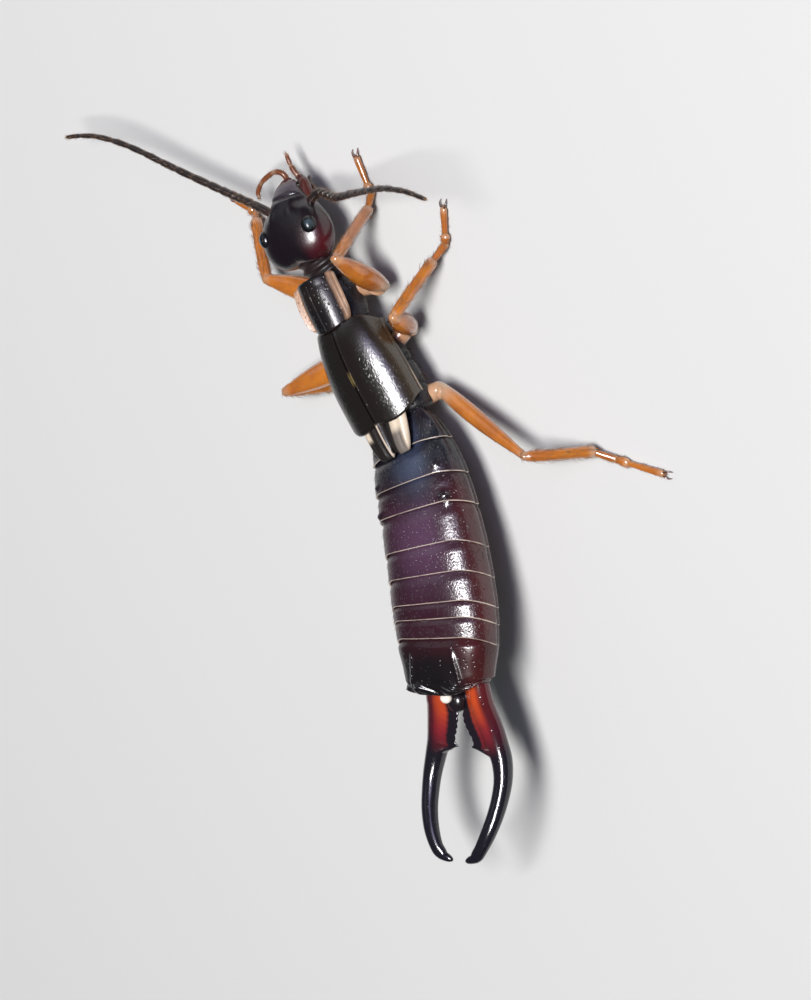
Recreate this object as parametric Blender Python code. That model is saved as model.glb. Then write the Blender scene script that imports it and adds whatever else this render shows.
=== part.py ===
"""Common earwig, an adult male, as a still model at life size.

The animal stands on the floor at z = 0, with its head toward +Y, its right side toward +X and its
abdomen raised and bent a little to its left. Every size below is in millimetres, the scale at which
such an insect is measured, and settle() turns each finished mesh into metres.
"""

import math

import bmesh
import bpy
import numpy as np
from mathutils import Matrix, Vector

METRE = 0.001
GAP = 0.1
PLAN_MIDDLE = (0.11, -0.50)

# Body axis, from the neck to the root of the forceps
NECK = (-0.08, 3.5, 1.38)
AXIS_STEP = 0.05
AXIS_LENGTH = 10.3
BEND_START = 4.2
BEND_ANGLE = 25.0
RISE_ANGLE = 11.0
RISE_END = 6.2

# Head
HEAD_CENTRE = (-0.17, 4.72, 1.47)
HEAD_DIP = 10.0
HEAD_YAW = 7.0
EYE_PLACE = (0.70, -0.16, 0.29)
EYE_SIZE = (0.19, 0.23, 0.21)

# The head's sections: place along it, half width, and height above and below its axis
HEAD_STATIONS = (
    (-1.00, 0.46, 0.24, 0.28), (-0.80, 0.78, 0.45, 0.48), (-0.50, 0.92, 0.53, 0.55),
    (-0.15, 0.93, 0.55, 0.56), (0.20, 0.79, 0.50, 0.52), (0.48, 0.60, 0.41, 0.46),
    (0.70, 0.46, 0.27, 0.32))

# The jaw feelers, in the head's own frame
PALP_RIGHT = ((0.46, 0.54, -0.54), (0.34, 0.86, -0.52), (0.18, 1.12, -0.40), (0.08, 1.34, -0.30),
              (0.06, 1.60, -0.22))
PALP_LEFT = ((-0.46, 0.54, -0.54), (-0.36, 0.96, -0.52), (-0.28, 1.22, -0.38), (-0.44, 1.35, -0.30),
             (-0.70, 1.31, -0.28), (-0.95, 1.22, -0.30), (-1.15, 1.06, -0.34), (-1.17, 0.94, -0.36))
PALP_ROOT = 0.16
PALP_TAPER = 0.06

# The feelers: their roots in the head's own frame, then their way over the floor
FEELER_LEFT = ((-0.55, 0.34, 0.0), (-1.04, 0.76, 0.05))
FEELER_RIGHT = ((0.55, 0.34, 0.0), (1.00, 0.49, 0.09))
FEELER_LEFT_WAY = (
    (-1.82, 6.30, 1.40), (-2.60, 7.15, 1.50), (-3.49, 8.14, 1.60), (-4.16, 8.70, 1.65),
    (-4.65, 8.95, 1.65), (-5.10, 9.10, 1.60))
FEELER_RIGHT_WAY = (
    (1.50, 4.78, 1.80), (2.33, 4.62, 2.21), (3.19, 4.45, 2.64), (3.89, 4.27, 2.96),
    (4.62, 3.96, 3.28), (5.20, 3.59, 3.50))
FEELER_RINGS = 27
FEELER_ROOT = 0.44
FEELER_TIP = 0.2
FEELER_WAVE = 0.012

# Thorax
PRONOTUM_WIDTH = 1.38
PRONOTUM_FRONT = 3.42
PRONOTUM_BACK = 2.14
PRONOTUM_TOP = 2.12
PRONOTUM_SHIFT = -0.13
PRONOTUM_DOME = 0.30
PRONOTUM_RIM = 0.78
THORAX_WIDTH = 1.72
THORAX_TOP = 1.66
THORAX_BELLY = 0.68
THORAX_FRONT = 2.02
THORAX_BACK = -0.36

# Wings
ELYTRON_WIDTH = 1.08
ELYTRA_SHIFT = -0.06
ELYTRON_TOP = 2.2
ELYTRON_EDGE = 1.48
ELYTRON_THICKNESS = 0.44
ELYTRON_FRONT = 2.08
ELYTRON_BACK = -0.2
WING_TIP_LENGTH = 1.15
WING_TIP_WIDTH = 0.62
WING_TIP_HEIGHT = 1.83

# Abdomen: where each ring ends, in millimetres behind the neck
RING_ENDS = (4.61, 5.42, 6.08, 6.93, 7.58, 8.22, 8.58, 9.02)
ABDOMEN_FRONT = 3.98
LAST_RING_END = 10.25
RING_STEP = 0.045

# The abdomen's sections: place behind the neck, half width, and height above and below its axis
ABDOMEN_STATIONS = (
    (3.9, 0.92, 0.22, 0.50), (4.2, 1.02, 0.28, 0.57), (4.5, 1.11, 0.36, 0.63),
    (4.8, 1.18, 0.52, 0.67), (5.4, 1.26, 0.68, 0.70), (6.2, 1.31, 0.76, 0.72),
    (7.2, 1.35, 0.80, 0.74), (8.3, 1.37, 0.78, 0.72), (9.1, 1.30, 0.72, 0.66),
    (9.9, 1.20, 0.62, 0.55), (10.3, 1.08, 0.50, 0.44))

# The knobs on its third and fourth rings: place behind the neck and size
KNOBS = ((5.22, 0.13), (5.95, 0.19))

# Forceps
FORCEPS_PITCH = 8.0
FORCEPS_YAW = 25.0
FORCEPS_SHIFT = 0.14

# An arm's sections: place across, behind and above its root, and its half width and half height
ARM_STATIONS = (
    (0.58, 0.10, -0.14, 0.32, 0.26), (0.63, 0.40, -0.23, 0.31, 0.26), (0.73, 0.80, -0.34, 0.30, 0.25),
    (0.84, 1.20, -0.42, 0.265, 0.245), (0.94, 1.55, -0.44, 0.245, 0.235),
    (1.00, 1.95, -0.38, 0.225, 0.22), (0.99, 2.35, -0.27, 0.21, 0.205),
    (0.93, 2.75, -0.14, 0.195, 0.19), (0.80, 3.17, -0.02, 0.175, 0.17),
    (0.62, 3.55, 0.05, 0.14, 0.135), (0.33, 3.87, 0.02, 0.06, 0.06))

# The toothed plate on the inner side of an arm: place across, behind and above, and half width
FLANGE_STATIONS = (
    (0.36, 0.34, -0.10, 0.22), (0.34, 0.62, -0.14, 0.25), (0.40, 0.90, -0.22, 0.24),
    (0.50, 1.12, -0.28, 0.22), (0.58, 1.26, -0.34, 0.16))
TOOTH_SIZE = (0.07, 0.08, 0.09)
TEETH = 5

# Legs
FEMUR_FRONT = 0.56
FEMUR_HIND = 0.5
TIBIA = 0.44
TARSUS = 0.3
TARSUS_HEIGHTS = (0.14, 0.13, 0.11)
CLAW_LENGTH = 0.3
CLAW_SPREAD = 0.1

# Joints of each leg: root, end of the trochanter, knee, end of the tibia, and the plan places of three
# tarsal joints
LEGS = {
    "leg_front_right": ((0.34, 2.80, 0.92), (0.80, 2.62, 0.88), (1.06, 3.50, 2.20),
                        (1.04, 4.28, 0.42), (1.13, 4.60), (1.12, 5.02), (1.18, 5.44)),
    "leg_front_left": ((-0.46, 2.80, 0.92), (-0.78, 2.92, 0.66), (-1.98, 3.97, 1.08),
                       (-2.10, 5.30, 0.40), (-2.24, 5.55), (-2.38, 5.75), (-2.57, 5.98)),
    "leg_middle_right": ((0.45, 1.30, 0.95), (0.90, 1.50, 0.70), (1.40, 1.75, 1.68),
                         (2.10, 2.51, 0.48), (2.42, 2.76), (2.64, 3.10), (2.80, 3.46)),
    "leg_middle_left": ((-0.50, 1.30, 0.95), (-1.06, 1.42, 0.72), (-2.90, 1.48, 1.12),
                        (-2.26, 1.16, 0.38), (-2.12, 0.84), (-2.04, 0.48), (-2.0, 0.10)),
    "leg_hind_right": ((0.45, -0.10, 0.95), (1.02, -0.14, 0.80), (2.85, -2.41, 1.42),
                       (3.77, -2.96, 0.34), (4.13, -3.36), (4.66, -3.78), (5.12, -4.12)),
    "leg_hind_left": ((-0.48, -0.10, 0.92), (-0.86, -0.40, 0.70), (-1.66, -2.30, 0.84),
                      (-1.80, -3.40, 0.32), (-1.92, -3.75), (-2.10, -4.25), (-2.25, -4.72)),
}

# Colours, with roughness, of the sub-parts
BLACK_BROWN = ((0.018, 0.009, 0.008), 0.18)
EYE_BLACK = ((0.02, 0.025, 0.03), 0.12)
RED_BROWN = ((0.16, 0.035, 0.012), 0.25)
AMBER = ((0.50, 0.17, 0.035), 0.3)
PALE_AMBER = ((0.55, 0.36, 0.20), 0.35)
WING_BROWN = ((0.045, 0.02, 0.012), 0.25)
CREAM = ((0.62, 0.50, 0.33), 0.4)
PURPLE_BROWN = ((0.05, 0.012, 0.016), 0.28)
FORCEPS_RED = ((0.20, 0.03, 0.01), 0.2)
FEELER_BROWN = ((0.05, 0.03, 0.022), 0.5)
THORAX_BLACK = ((0.02, 0.018, 0.022), 0.4)


def smooth_curve(points, count):
    """A Catmull-Rom curve through the points, read at evenly spaced values of its parameter."""
    knots = np.array(points, dtype=float)
    ends = np.vstack([2 * knots[0] - knots[1], knots, 2 * knots[-1] - knots[-2]])
    where = np.linspace(0, len(knots) - 1, count)
    span = np.minimum(where.astype(int), len(knots) - 2)
    u = (where - span)[:, None]
    a, b, c, d = (ends[span + k] for k in range(4))
    return 0.5 * (2 * b + (c - a) * u + (2 * a - 5 * b + 4 * c - d) * u ** 2
                  + (3 * b - a - 3 * c + d) * u ** 3)


def read_profile(stations, where):
    """Values of a smooth profile, given as rows (place, value, value, ...), at the places asked."""
    fine = smooth_curve(stations, 12 * len(stations))
    return np.array([[np.interp(w, fine[:, 0], fine[:, k]) for k in range(1, fine.shape[1])]
                     for w in where])


def heading(yaw, pitch):
    """Turn whose columns point right, forward and up, for a body turned and pitched in degrees."""
    y, p = math.radians(yaw), math.radians(pitch)
    forward = Vector((math.sin(y) * math.cos(p), math.cos(y) * math.cos(p), -math.sin(p)))
    right = Vector((math.cos(y), -math.sin(y), 0))
    up = right.cross(forward)
    return Matrix((right, forward, up)).transposed().to_4x4()


def placed(origin, yaw, pitch):
    """A frame at a place, turned and pitched in degrees."""
    return Matrix.Translation(Vector(origin)) @ heading(yaw, pitch)


def ease(x):
    """A smooth step from 0 to 1, level at both ends."""
    x = min(max(x, 0.0), 1.0)
    return x * x * (3 - 2 * x)


def axis_shift(y):
    """Sideways place of the body axis over a point of the plan, in front of the bend."""
    return NECK[0] + 0.02 * (NECK[1] - y)


def axis_angles(t):
    """Yaw and pitch of the body axis, t millimetres behind the neck."""
    yaw = BEND_ANGLE * max(t - BEND_START, 0) / (AXIS_LENGTH - BEND_START)
    pitch = RISE_ANGLE * ease((t - BEND_START + 1.0) / (RISE_END - BEND_START + 1.0))
    return yaw, pitch


def axis_frame(t):
    """Frame of the body axis, t millimetres behind the neck, found by walking along it."""
    place = Vector(NECK)
    steps = max(1, round(t / AXIS_STEP))
    for k in range(steps):
        yaw, pitch = axis_angles((k + 0.5) * t / steps)
        place = place - heading(yaw, pitch).col[1].to_3d() * (t / steps)
    return placed(place, *axis_angles(t))


def mesh_object(name, points, faces):
    """An object from points and faces, with its normals made to face out."""
    mesh = bpy.data.meshes.new(name + "_piece")
    mesh.from_pydata([tuple(p) for p in points], [], faces)
    bm = bmesh.new()
    bm.from_mesh(mesh)
    bmesh.ops.recalc_face_normals(bm, faces=bm.faces)
    bmesh.ops.triangulate(bm, faces=[f for f in bm.faces if len(f.verts) > 4])
    bm.to_mesh(mesh)
    bm.free()
    thing = bpy.data.objects.new(name + "_piece", mesh)
    bpy.context.scene.collection.objects.link(thing)
    return thing


def skin(name, rings, first_pole=None, last_pole=None):
    """A closed body over rings of points, each end closed by a fan round its pole."""
    count = len(rings[0])
    points = [p for ring in rings for p in ring]
    points.append(first_pole if first_pole is not None else np.mean(rings[0], axis=0))
    points.append(last_pole if last_pole is not None else np.mean(rings[-1], axis=0))
    head, tail = len(points) - 2, len(points) - 1
    faces = []
    for k in range(len(rings) - 1):
        for j in range(count):
            i = (j + 1) % count
            faces.append((k * count + j, k * count + i, (k + 1) * count + i, (k + 1) * count + j))
    base = (len(rings) - 1) * count
    for j in range(count):
        i = (j + 1) % count
        faces.append((head, i, j))
        faces.append((tail, base + j, base + i))
    return mesh_object(name, points, faces)


def oval(frame, half_width, up, down, sides, power=2.2):
    """A ring of a rounded box shape across the frame, wider or flatter above than below."""
    ring = []
    for k in range(sides):
        turn = 2 * math.pi * (k + 0.5) / sides
        c, s = math.cos(turn), math.sin(turn)
        x = half_width * math.copysign(abs(c) ** (2 / power), c)
        z = (up if s > 0 else down) * math.copysign(abs(s) ** (2 / power), s)
        ring.append(np.array(frame @ Vector((x, 0, z))))
    return ring


def tube(name, path, radii, sides=10, flat=1.0, up=(0, 0, 1)):
    """A limb with round ends along a path, its section flattened along the up direction."""
    path = [Vector(p) for p in path]
    up = Vector(up)
    ways = [(path[min(k + 1, len(path) - 1)] - path[max(k - 1, 0)]).normalized()
            for k in range(len(path))]
    places = [path[0] - ways[0] * radii[0] * 0.6] + path + [path[-1] + ways[-1] * radii[-1] * 0.6]
    ways = [ways[0]] + ways + [ways[-1]]
    sizes = [radii[0] * 0.7] + list(radii) + [radii[-1] * 0.7]
    rings = []
    for place, way, size in zip(places, ways, sizes):
        side = way.cross(up).normalized()
        rise = side.cross(way)
        rings.append([np.array(place + side * size * math.cos(a) + rise * size * flat * math.sin(a))
                      for a in (2 * math.pi * (j + 0.5) / sides for j in range(sides))])
    first = np.array(path[0] - ways[0] * radii[0])
    last = np.array(path[-1] + ways[-1] * radii[-1])
    return skin(name, rings, first, last)


def ball(name, frame, radii, rings=7, sides=12):
    """An ellipsoid with its half axes along the frame's."""
    bm = bmesh.new()
    shape = frame @ Matrix.Diagonal((*radii, 1))
    bmesh.ops.create_uvsphere(bm, u_segments=sides, v_segments=rings, radius=1, matrix=shape)
    mesh = bpy.data.meshes.new(name + "_piece")
    bm.to_mesh(mesh)
    bm.free()
    thing = bpy.data.objects.new(name + "_piece", mesh)
    bpy.context.scene.collection.objects.link(thing)
    return thing


def plate(name, outer, inner):
    """A closed plate between two grids of points, split into triangles alike on both faces."""
    rows, columns = outer.shape[:2]
    points = np.vstack([outer.reshape(-1, 3), inner.reshape(-1, 3)])
    under = rows * columns
    faces = []
    for r in range(rows - 1):
        for c in range(columns - 1):
            a, b = r * columns + c, r * columns + c + 1
            d, e = a + columns, b + columns
            faces += [(a, b, e), (a, e, d), (under + a, under + e, under + b),
                      (under + a, under + d, under + e)]
    rim = list(range(columns))
    rim += [r * columns + columns - 1 for r in range(1, rows)]
    rim += [(rows - 1) * columns + c for c in range(columns - 2, -1, -1)]
    rim += [r * columns for r in range(rows - 2, 0, -1)]
    for k, a in enumerate(rim):
        b = rim[(k + 1) % len(rim)]
        faces += [(a, under + a, under + b), (a, under + b, b)]
    return mesh_object(name, points, faces)


def boolean(body, others, operation):
    """Join or cut a body with other closed bodies, which are then removed."""
    group = bpy.data.collections.new("pieces")
    for other in others:
        group.objects.link(other)
    change = body.modifiers.new("change", "BOOLEAN")
    change.operation = operation
    change.operand_type = "COLLECTION"
    change.collection = group
    change.solver = "EXACT"
    bpy.context.view_layer.update()
    seen = body.evaluated_get(bpy.context.evaluated_depsgraph_get())
    mesh = bpy.data.meshes.new_from_object(seen)
    body.modifiers.clear()
    body.data = mesh
    for other in others:
        bpy.data.objects.remove(other)
    bpy.data.collections.remove(group)
    return body


def grown(piece, by=0.0):
    """A copy of a simple piece with its surface moved out, to cut a neighbour with a gap to it."""
    mesh = piece.data.copy()
    normals = [v.normal.copy() for v in mesh.vertices]
    for vertex, normal in zip(mesh.vertices, normals):
        vertex.co = vertex.co + normal * by
    copy = bpy.data.objects.new(piece.name + "_copy", mesh)
    bpy.context.scene.collection.objects.link(copy)
    return copy


def keep_largest(mesh):
    """Drop every closed surface of a mesh but the largest."""
    bm = bmesh.new()
    bm.from_mesh(mesh)
    left = set(bm.verts)
    shells = []
    while left:
        shell = {left.pop()}
        edge = list(shell)
        while edge:
            near = {e.other_vert(v) for v in edge for e in v.link_edges} - shell
            shell |= near
            edge = list(near)
        left -= shell
        shells.append(shell)
    spans = [max((v.co - next(iter(s)).co).length for v in s) * len(s) for s in shells]
    kept = shells[spans.index(max(spans))]
    bmesh.ops.delete(bm, geom=[v for v in bm.verts if v not in kept], context="VERTS")
    bm.to_mesh(mesh)
    bm.free()


def paint(thing, finish):
    """Give a sub-part its own material."""
    colour, roughness = finish
    material = bpy.data.materials.new(thing.name + "_finish")
    material.use_nodes = True
    shader = material.node_tree.nodes["Principled BSDF"]
    shader.inputs["Base Color"].default_value = (*colour, 1)
    shader.inputs["Roughness"].default_value = roughness
    shader.inputs["Metallic"].default_value = 0.0
    thing.data.materials.clear()
    thing.data.materials.append(material)


def settle(name, thing, finish, crease=40):
    """Name a finished node, keep one closed surface, and turn it into metres over the origin."""
    if not thing.data.polygons:
        raise ValueError(name + " has no surface left")
    keep_largest(thing.data)
    thing.name = name
    thing.data.name = name
    over_origin = Matrix.Translation((-PLAN_MIDDLE[0], -PLAN_MIDDLE[1], 0))
    thing.data.transform(Matrix.Scale(METRE, 4) @ over_origin)
    thing.data.shade_smooth()
    thing.data.set_sharp_from_angle(angle=math.radians(crease))
    paint(thing, finish)
    return thing


def mirrored(points, side):
    """Points given for the right side, for the side asked: 1 is right and -1 left."""
    return [(side * x, y, z) for x, y, z in points]


def through(frame, points):
    """Points of a frame, in the model's own."""
    return [frame @ Vector(p) for p in points]


def head_frame():
    """The head's own frame: right, forward and up, turned a little right and with the face down."""
    return placed(HEAD_CENTRE, HEAD_YAW, HEAD_DIP)


def head_pieces():
    """The head capsule: heart shaped from above, flattened, with a blunt front."""
    frame = head_frame()
    rings = []
    places = np.linspace(HEAD_STATIONS[0][0], HEAD_STATIONS[-1][0], 11)
    for f, (width, up, down) in zip(places, read_profile(HEAD_STATIONS, places)):
        here = frame @ Matrix.Translation((0, f, 0))
        rings.append(oval(here, width, up, down, 20, 2.3))
    return [skin("head", rings)]


def eye_pieces(side):
    """A compound eye: a low oval dome at the side of the head."""
    x, y, z = EYE_PLACE
    frame = head_frame() @ Matrix.Translation((side * x, y, z))
    return [ball("eye", frame, EYE_SIZE, 6, 12)]


def labrum_pieces():
    """The upper lip: a short rounded plate that slopes down in front of the head."""
    frame = head_frame()
    path = through(frame, [(0, 0.80, 0.02), (0, 0.92, -0.03), (0, 1.02, -0.09)])
    return [tube("labrum", path, [0.28, 0.24, 0.15], 12, 0.5)]


def mandible_pieces(side):
    """A jaw: a curved wedge beside and below the upper lip, its tip bent in."""
    frame = head_frame()
    path = through(frame, mirrored(
        [(0.43, 0.70, -0.24), (0.42, 0.85, -0.27), (0.33, 1.0, -0.32), (0.19, 1.1, -0.36)], side))
    return [tube("mandible", path, [0.15, 0.15, 0.12, 0.06], 8, 0.8)]


def maxillary_palp_pieces(side):
    """A jaw feeler of five short joints, bent down in the middle."""
    frame = head_frame()
    spots = PALP_RIGHT if side > 0 else PALP_LEFT
    count = 3 * len(spots) - 2
    path = through(frame, [tuple(p) for p in smooth_curve(spots, count)])
    radii = [PALP_ROOT - PALP_TAPER * k / (count - 1) + FEELER_WAVE * (k % 2) for k in range(count)]
    return [tube("maxillary_palp", path, radii, 7)]


def labial_palps_pieces():
    """The lower lip with its two short feelers, as one piece under the jaws."""
    frame = head_frame()
    lip = ball("lip", frame @ Matrix.Translation((0, 0.62, -0.70)), (0.26, 0.30, 0.15), 6, 10)
    arms = []
    for side in (1, -1):
        path = through(frame, mirrored(
            [(0.12, 0.76, -0.74), (0.17, 0.92, -0.78), (0.15, 1.06, -0.82)], side))
        arms.append(tube("labial_palp", path, [0.12, 0.11, 0.08], 7))
    return [lip] + arms


def feeler_pieces(side):
    """An antenna: a stout first joint, then a thread of joints, each a little wider at its end."""
    frame = head_frame()
    root, way = (FEELER_RIGHT, FEELER_RIGHT_WAY) if side > 0 else (FEELER_LEFT, FEELER_LEFT_WAY)
    spots = [tuple(p) for p in through(frame, root)] + list(way)
    path = [tuple(p) for p in smooth_curve(spots, FEELER_RINGS)]
    radii = []
    for k in range(FEELER_RINGS):
        along = k / (FEELER_RINGS - 1)
        wave = FEELER_WAVE * math.cos(math.pi * k)
        radii.append((FEELER_ROOT + (FEELER_TIP - FEELER_ROOT) * along) / 2 + wave)
    return [tube("feeler", path, radii, 7)]


def neck_pieces():
    """The short stalk between the head and the first ring of the thorax."""
    path = [(-0.08, 3.1, 1.2), (-0.09, 3.6, 1.34), (-0.1, 4.2, 1.5)]
    return [tube("neck", path, [0.42, 0.42, 0.42], 12, 0.6)]


def pronotum_pieces():
    """The shield behind the head: nearly square, rounded behind, with flat turned-up sides."""
    rows, columns = 9, 11
    outer = np.zeros((rows, columns, 3))
    inner = np.zeros((rows, columns, 3))
    for r in range(rows):
        v = r / (rows - 1)
        for c in range(columns):
            u = 2 * c / (columns - 1) - 1
            half = PRONOTUM_WIDTH / 2 * (0.97 + 0.04 * math.sin(math.pi * v))
            front = PRONOTUM_FRONT - 0.05 * u ** 4
            back = PRONOTUM_BACK + 0.26 * abs(u) ** 4
            y = front + (back - front) * v
            x = half * u + axis_shift(y) + PRONOTUM_SHIFT
            dome = PRONOTUM_DOME * (1 - min(abs(u) / PRONOTUM_RIM, 1) ** 2.4)
            edge = 0.05 * max(abs(u) - PRONOTUM_RIM, 0) / (1 - PRONOTUM_RIM)
            fall = 0.08 * (1 - v) ** 3
            level = PRONOTUM_TOP - PRONOTUM_DOME - fall
            outer[r, c] = (x, y, level + dome + edge)
            inner[r, c] = (x, y, level - 0.06 - 0.06 * u ** 2)
    return [plate("pronotum", outer, inner)]


def prothorax_pieces():
    """The first ring of the thorax, under the shield, which carries the front legs."""
    rings = []
    stations = ((3.38, 0.36, 1.0, 1.50), (3.2, 0.44, 0.85, 1.54), (2.7, 0.51, 0.72, 1.58),
                (2.3, 0.49, 0.72, 1.58), (2.16, 0.43, 0.8, 1.54))
    for y, half, low, high in stations:
        middle = (low + high) / 2
        here = Matrix.Translation((axis_shift(y), y, middle))
        rings.append(oval(here, half, high - middle, middle - low, 14, 2.6))
    return [skin("prothorax", rings)]


def thorax_pieces():
    """The second and third rings of the thorax, which carry the wings and four legs."""
    rings = []
    half = THORAX_WIDTH / 2
    stations = ((0.0, 0.56, 0.12), (0.06, 0.68, 0.04), (0.25, 0.84, 0.0), (0.47, 0.96, 0.0),
                (0.50, 0.92, 0.02), (0.53, 0.96, 0.0), (0.75, 1.0, 0.0), (0.94, 1.0, 0.03),
                (1.0, 0.92, 0.10))
    for v, wide, short in stations:
        y = THORAX_FRONT + (THORAX_BACK - THORAX_FRONT) * v
        middle = (THORAX_TOP + THORAX_BELLY) / 2 - 0.08
        here = Matrix.Translation((axis_shift(y), y, middle))
        rings.append(oval(here, half * wide, THORAX_TOP - middle - short,
                          middle - THORAX_BELLY - short, 18, 2.5))
    return [skin("thorax", rings)]


def elytron_pieces(side):
    """A short wing case: a curved plate from the seam to its folded side, its end slanted."""
    rows, columns = 9, 8
    outer = np.zeros((rows, columns, 3))
    inner = np.zeros((rows, columns, 3))
    for r in range(rows):
        v = r / (rows - 1)
        width = ELYTRON_WIDTH * (0.80 + 0.20 * math.sin(math.pi / 2 * min(1.3 * v + 0.05, 1)))
        drop = ELYTRON_TOP - ELYTRON_EDGE
        for c in range(columns):
            u = c / (columns - 1)
            turn = u * math.pi / 2
            x = width * math.sin(turn) ** (2 / 2.4)
            z = ELYTRON_EDGE + drop * math.cos(turn) ** (2 / 2.4)
            across = x / width
            front = ELYTRON_FRONT + 0.16 * across ** 2 - 0.40 * across ** 6
            back = ELYTRON_BACK - 0.13 * math.sin(math.pi * min(across, 1) ** 0.9) + 0.21 * across ** 6
            y = front + (back - front) * v
            dip = 0.10 * (1 - v) ** 3 + 0.04 * v ** 4
            seam = GAP * 0.35
            deep = ELYTRON_THICKNESS * (1 - 0.72 * u ** 2) * (1 - 0.5 * v ** 4)
            slope = math.sin(turn)
            middle = axis_shift(y) + ELYTRA_SHIFT
            outer[r, c] = (middle + side * (x + seam), y, z - dip)
            inner[r, c] = (middle + side * (max(x - deep * 0.55 * slope, 0) + seam), y,
                           z - dip - deep * (1 - 0.5 * slope))
    return [plate("elytron", outer, inner)]


def wing_tip_pieces(side):
    """The folded hind wing where it shows behind the wing case: a pad that ends in a blunt tip."""
    rings = []
    start = ELYTRON_BACK - 0.02
    for k in range(7):
        v = k / 6
        y = start - WING_TIP_LENGTH * v + 0.3
        half = WING_TIP_WIDTH / 2 * math.sqrt(max(1 - (0.93 * v) ** 3.2, 0.04))
        middle = axis_shift(y) + side * (0.36 - 0.08 * v) - 0.05 * v
        thick = 0.14 - 0.05 * v
        here = placed((middle, y, WING_TIP_HEIGHT + 0.16 * v), 0, -8)
        rings.append(oval(here, half, thick, thick, 10, 2.6))
    return [skin("wing_tip", rings)]


def ring_section(t, step=0.0, sides=24):
    """The abdomen's section at a place along the body axis, drawn in by a step."""
    half, up, down = read_profile(ABDOMEN_STATIONS, [t])[0]
    return oval(axis_frame(t), half - step, up - step, down - step, sides, 2.35)


def abdomen_pieces():
    """Nine overlapping rings: each swells to its hind edge and steps down to the next."""
    starts = (ABDOMEN_FRONT,) + RING_ENDS[:-1]
    rings = [ring_section(ABDOMEN_FRONT, 0.25)]
    for start, end in zip(starts, RING_ENDS):
        rings.append(ring_section(start + 0.05, RING_STEP))
        rings.append(ring_section(start + 0.45 * (end - start), RING_STEP * 0.25))
        rings.append(ring_section(end, 0.0))
    rings.append(ring_section(RING_ENDS[-1] + 0.03, RING_STEP * 3))
    body = skin("abdomen", rings)
    bumps = []
    for t, size in KNOBS:
        half, up, down = read_profile(ABDOMEN_STATIONS, [t])[0]
        for side in (1, -1):
            spot = axis_frame(t) @ Matrix.Translation((side * half * 0.74, 0, up * 0.62))
            bumps.append(ball("bump", spot, (size, size * 1.3, size), 6, 8))
    return [body] + bumps


def last_ring_pieces():
    """The large last plate, with a blunt knob over each arm of the forceps and sharp hind corners."""
    start = RING_ENDS[-1] + 0.03 + GAP
    rings = [ring_section(start, RING_STEP * 2.5)]
    for v in (0.08, 0.35, 0.65, 0.9):
        rings.append(ring_section(start + v * (LAST_RING_END - start), RING_STEP * 0.5))
    rings.append(ring_section(LAST_RING_END, 0.06))
    body = skin("last_ring", rings)
    extras = []
    back = axis_frame(LAST_RING_END)
    for side in (1, -1):
        knob = back @ Matrix.Translation((side * 0.52, 0.1, 0.36))
        extras.append(ball("knob", knob, (0.24, 0.26, 0.16), 6, 10))
        corner = through(back, mirrored([(0.95, 0.3, -0.05), (1.05, 0.05, -0.08)], side))
        extras.append(tube("corner", corner, [0.14, 0.07], 8))
    return [body] + extras


def forceps_frame():
    """Frame of the forceps' roots: right, forward and up."""
    base = axis_frame(LAST_RING_END)
    place = base @ Vector((FORCEPS_SHIFT, 0, -0.02))
    return placed(place, FORCEPS_YAW, FORCEPS_PITCH)


def pygidium_pieces():
    """The small dark plate between the roots of the forceps."""
    frame = forceps_frame() @ Matrix.Translation((0, -0.2, 0.06))
    return [ball("pygidium", frame, (0.26, 0.24, 0.22), 6, 10)]


def forceps_pieces(side):
    """One arm: a broad toothed root that nearly meets the other, then a slim bow to a sharp tip."""
    frame = forceps_frame()
    up = frame.col[2].to_3d()

    def spots(rows):
        return [frame @ Vector((side * x, -y, z)) for x, y, z in rows]

    arm_rows = smooth_curve(ARM_STATIONS, 17)
    arm = tube("arm", spots(arm_rows[:, :3]), list(arm_rows[:, 3]), 10, 0.92, up)
    flange_rows = np.array(FLANGE_STATIONS)
    flange = tube("flange", spots(flange_rows[:, :3]), list(flange_rows[:, 3]), 8, 0.62, up)
    teeth = []
    for k in range(TEETH):
        v = k / (TEETH - 1)
        spot = Matrix.Translation((side * (0.14 + 0.16 * v ** 2), -(0.52 + 0.58 * v), -0.12 - 0.14 * v))
        teeth.append(ball("tooth", frame @ spot, TOOTH_SIZE, 4, 6))
    teeth.append(tube("spike", spots(((0.54, 1.20, -0.32), (0.34, 1.32, -0.30))), [0.13, 0.06], 8))
    return [arm, flange] + teeth


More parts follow.
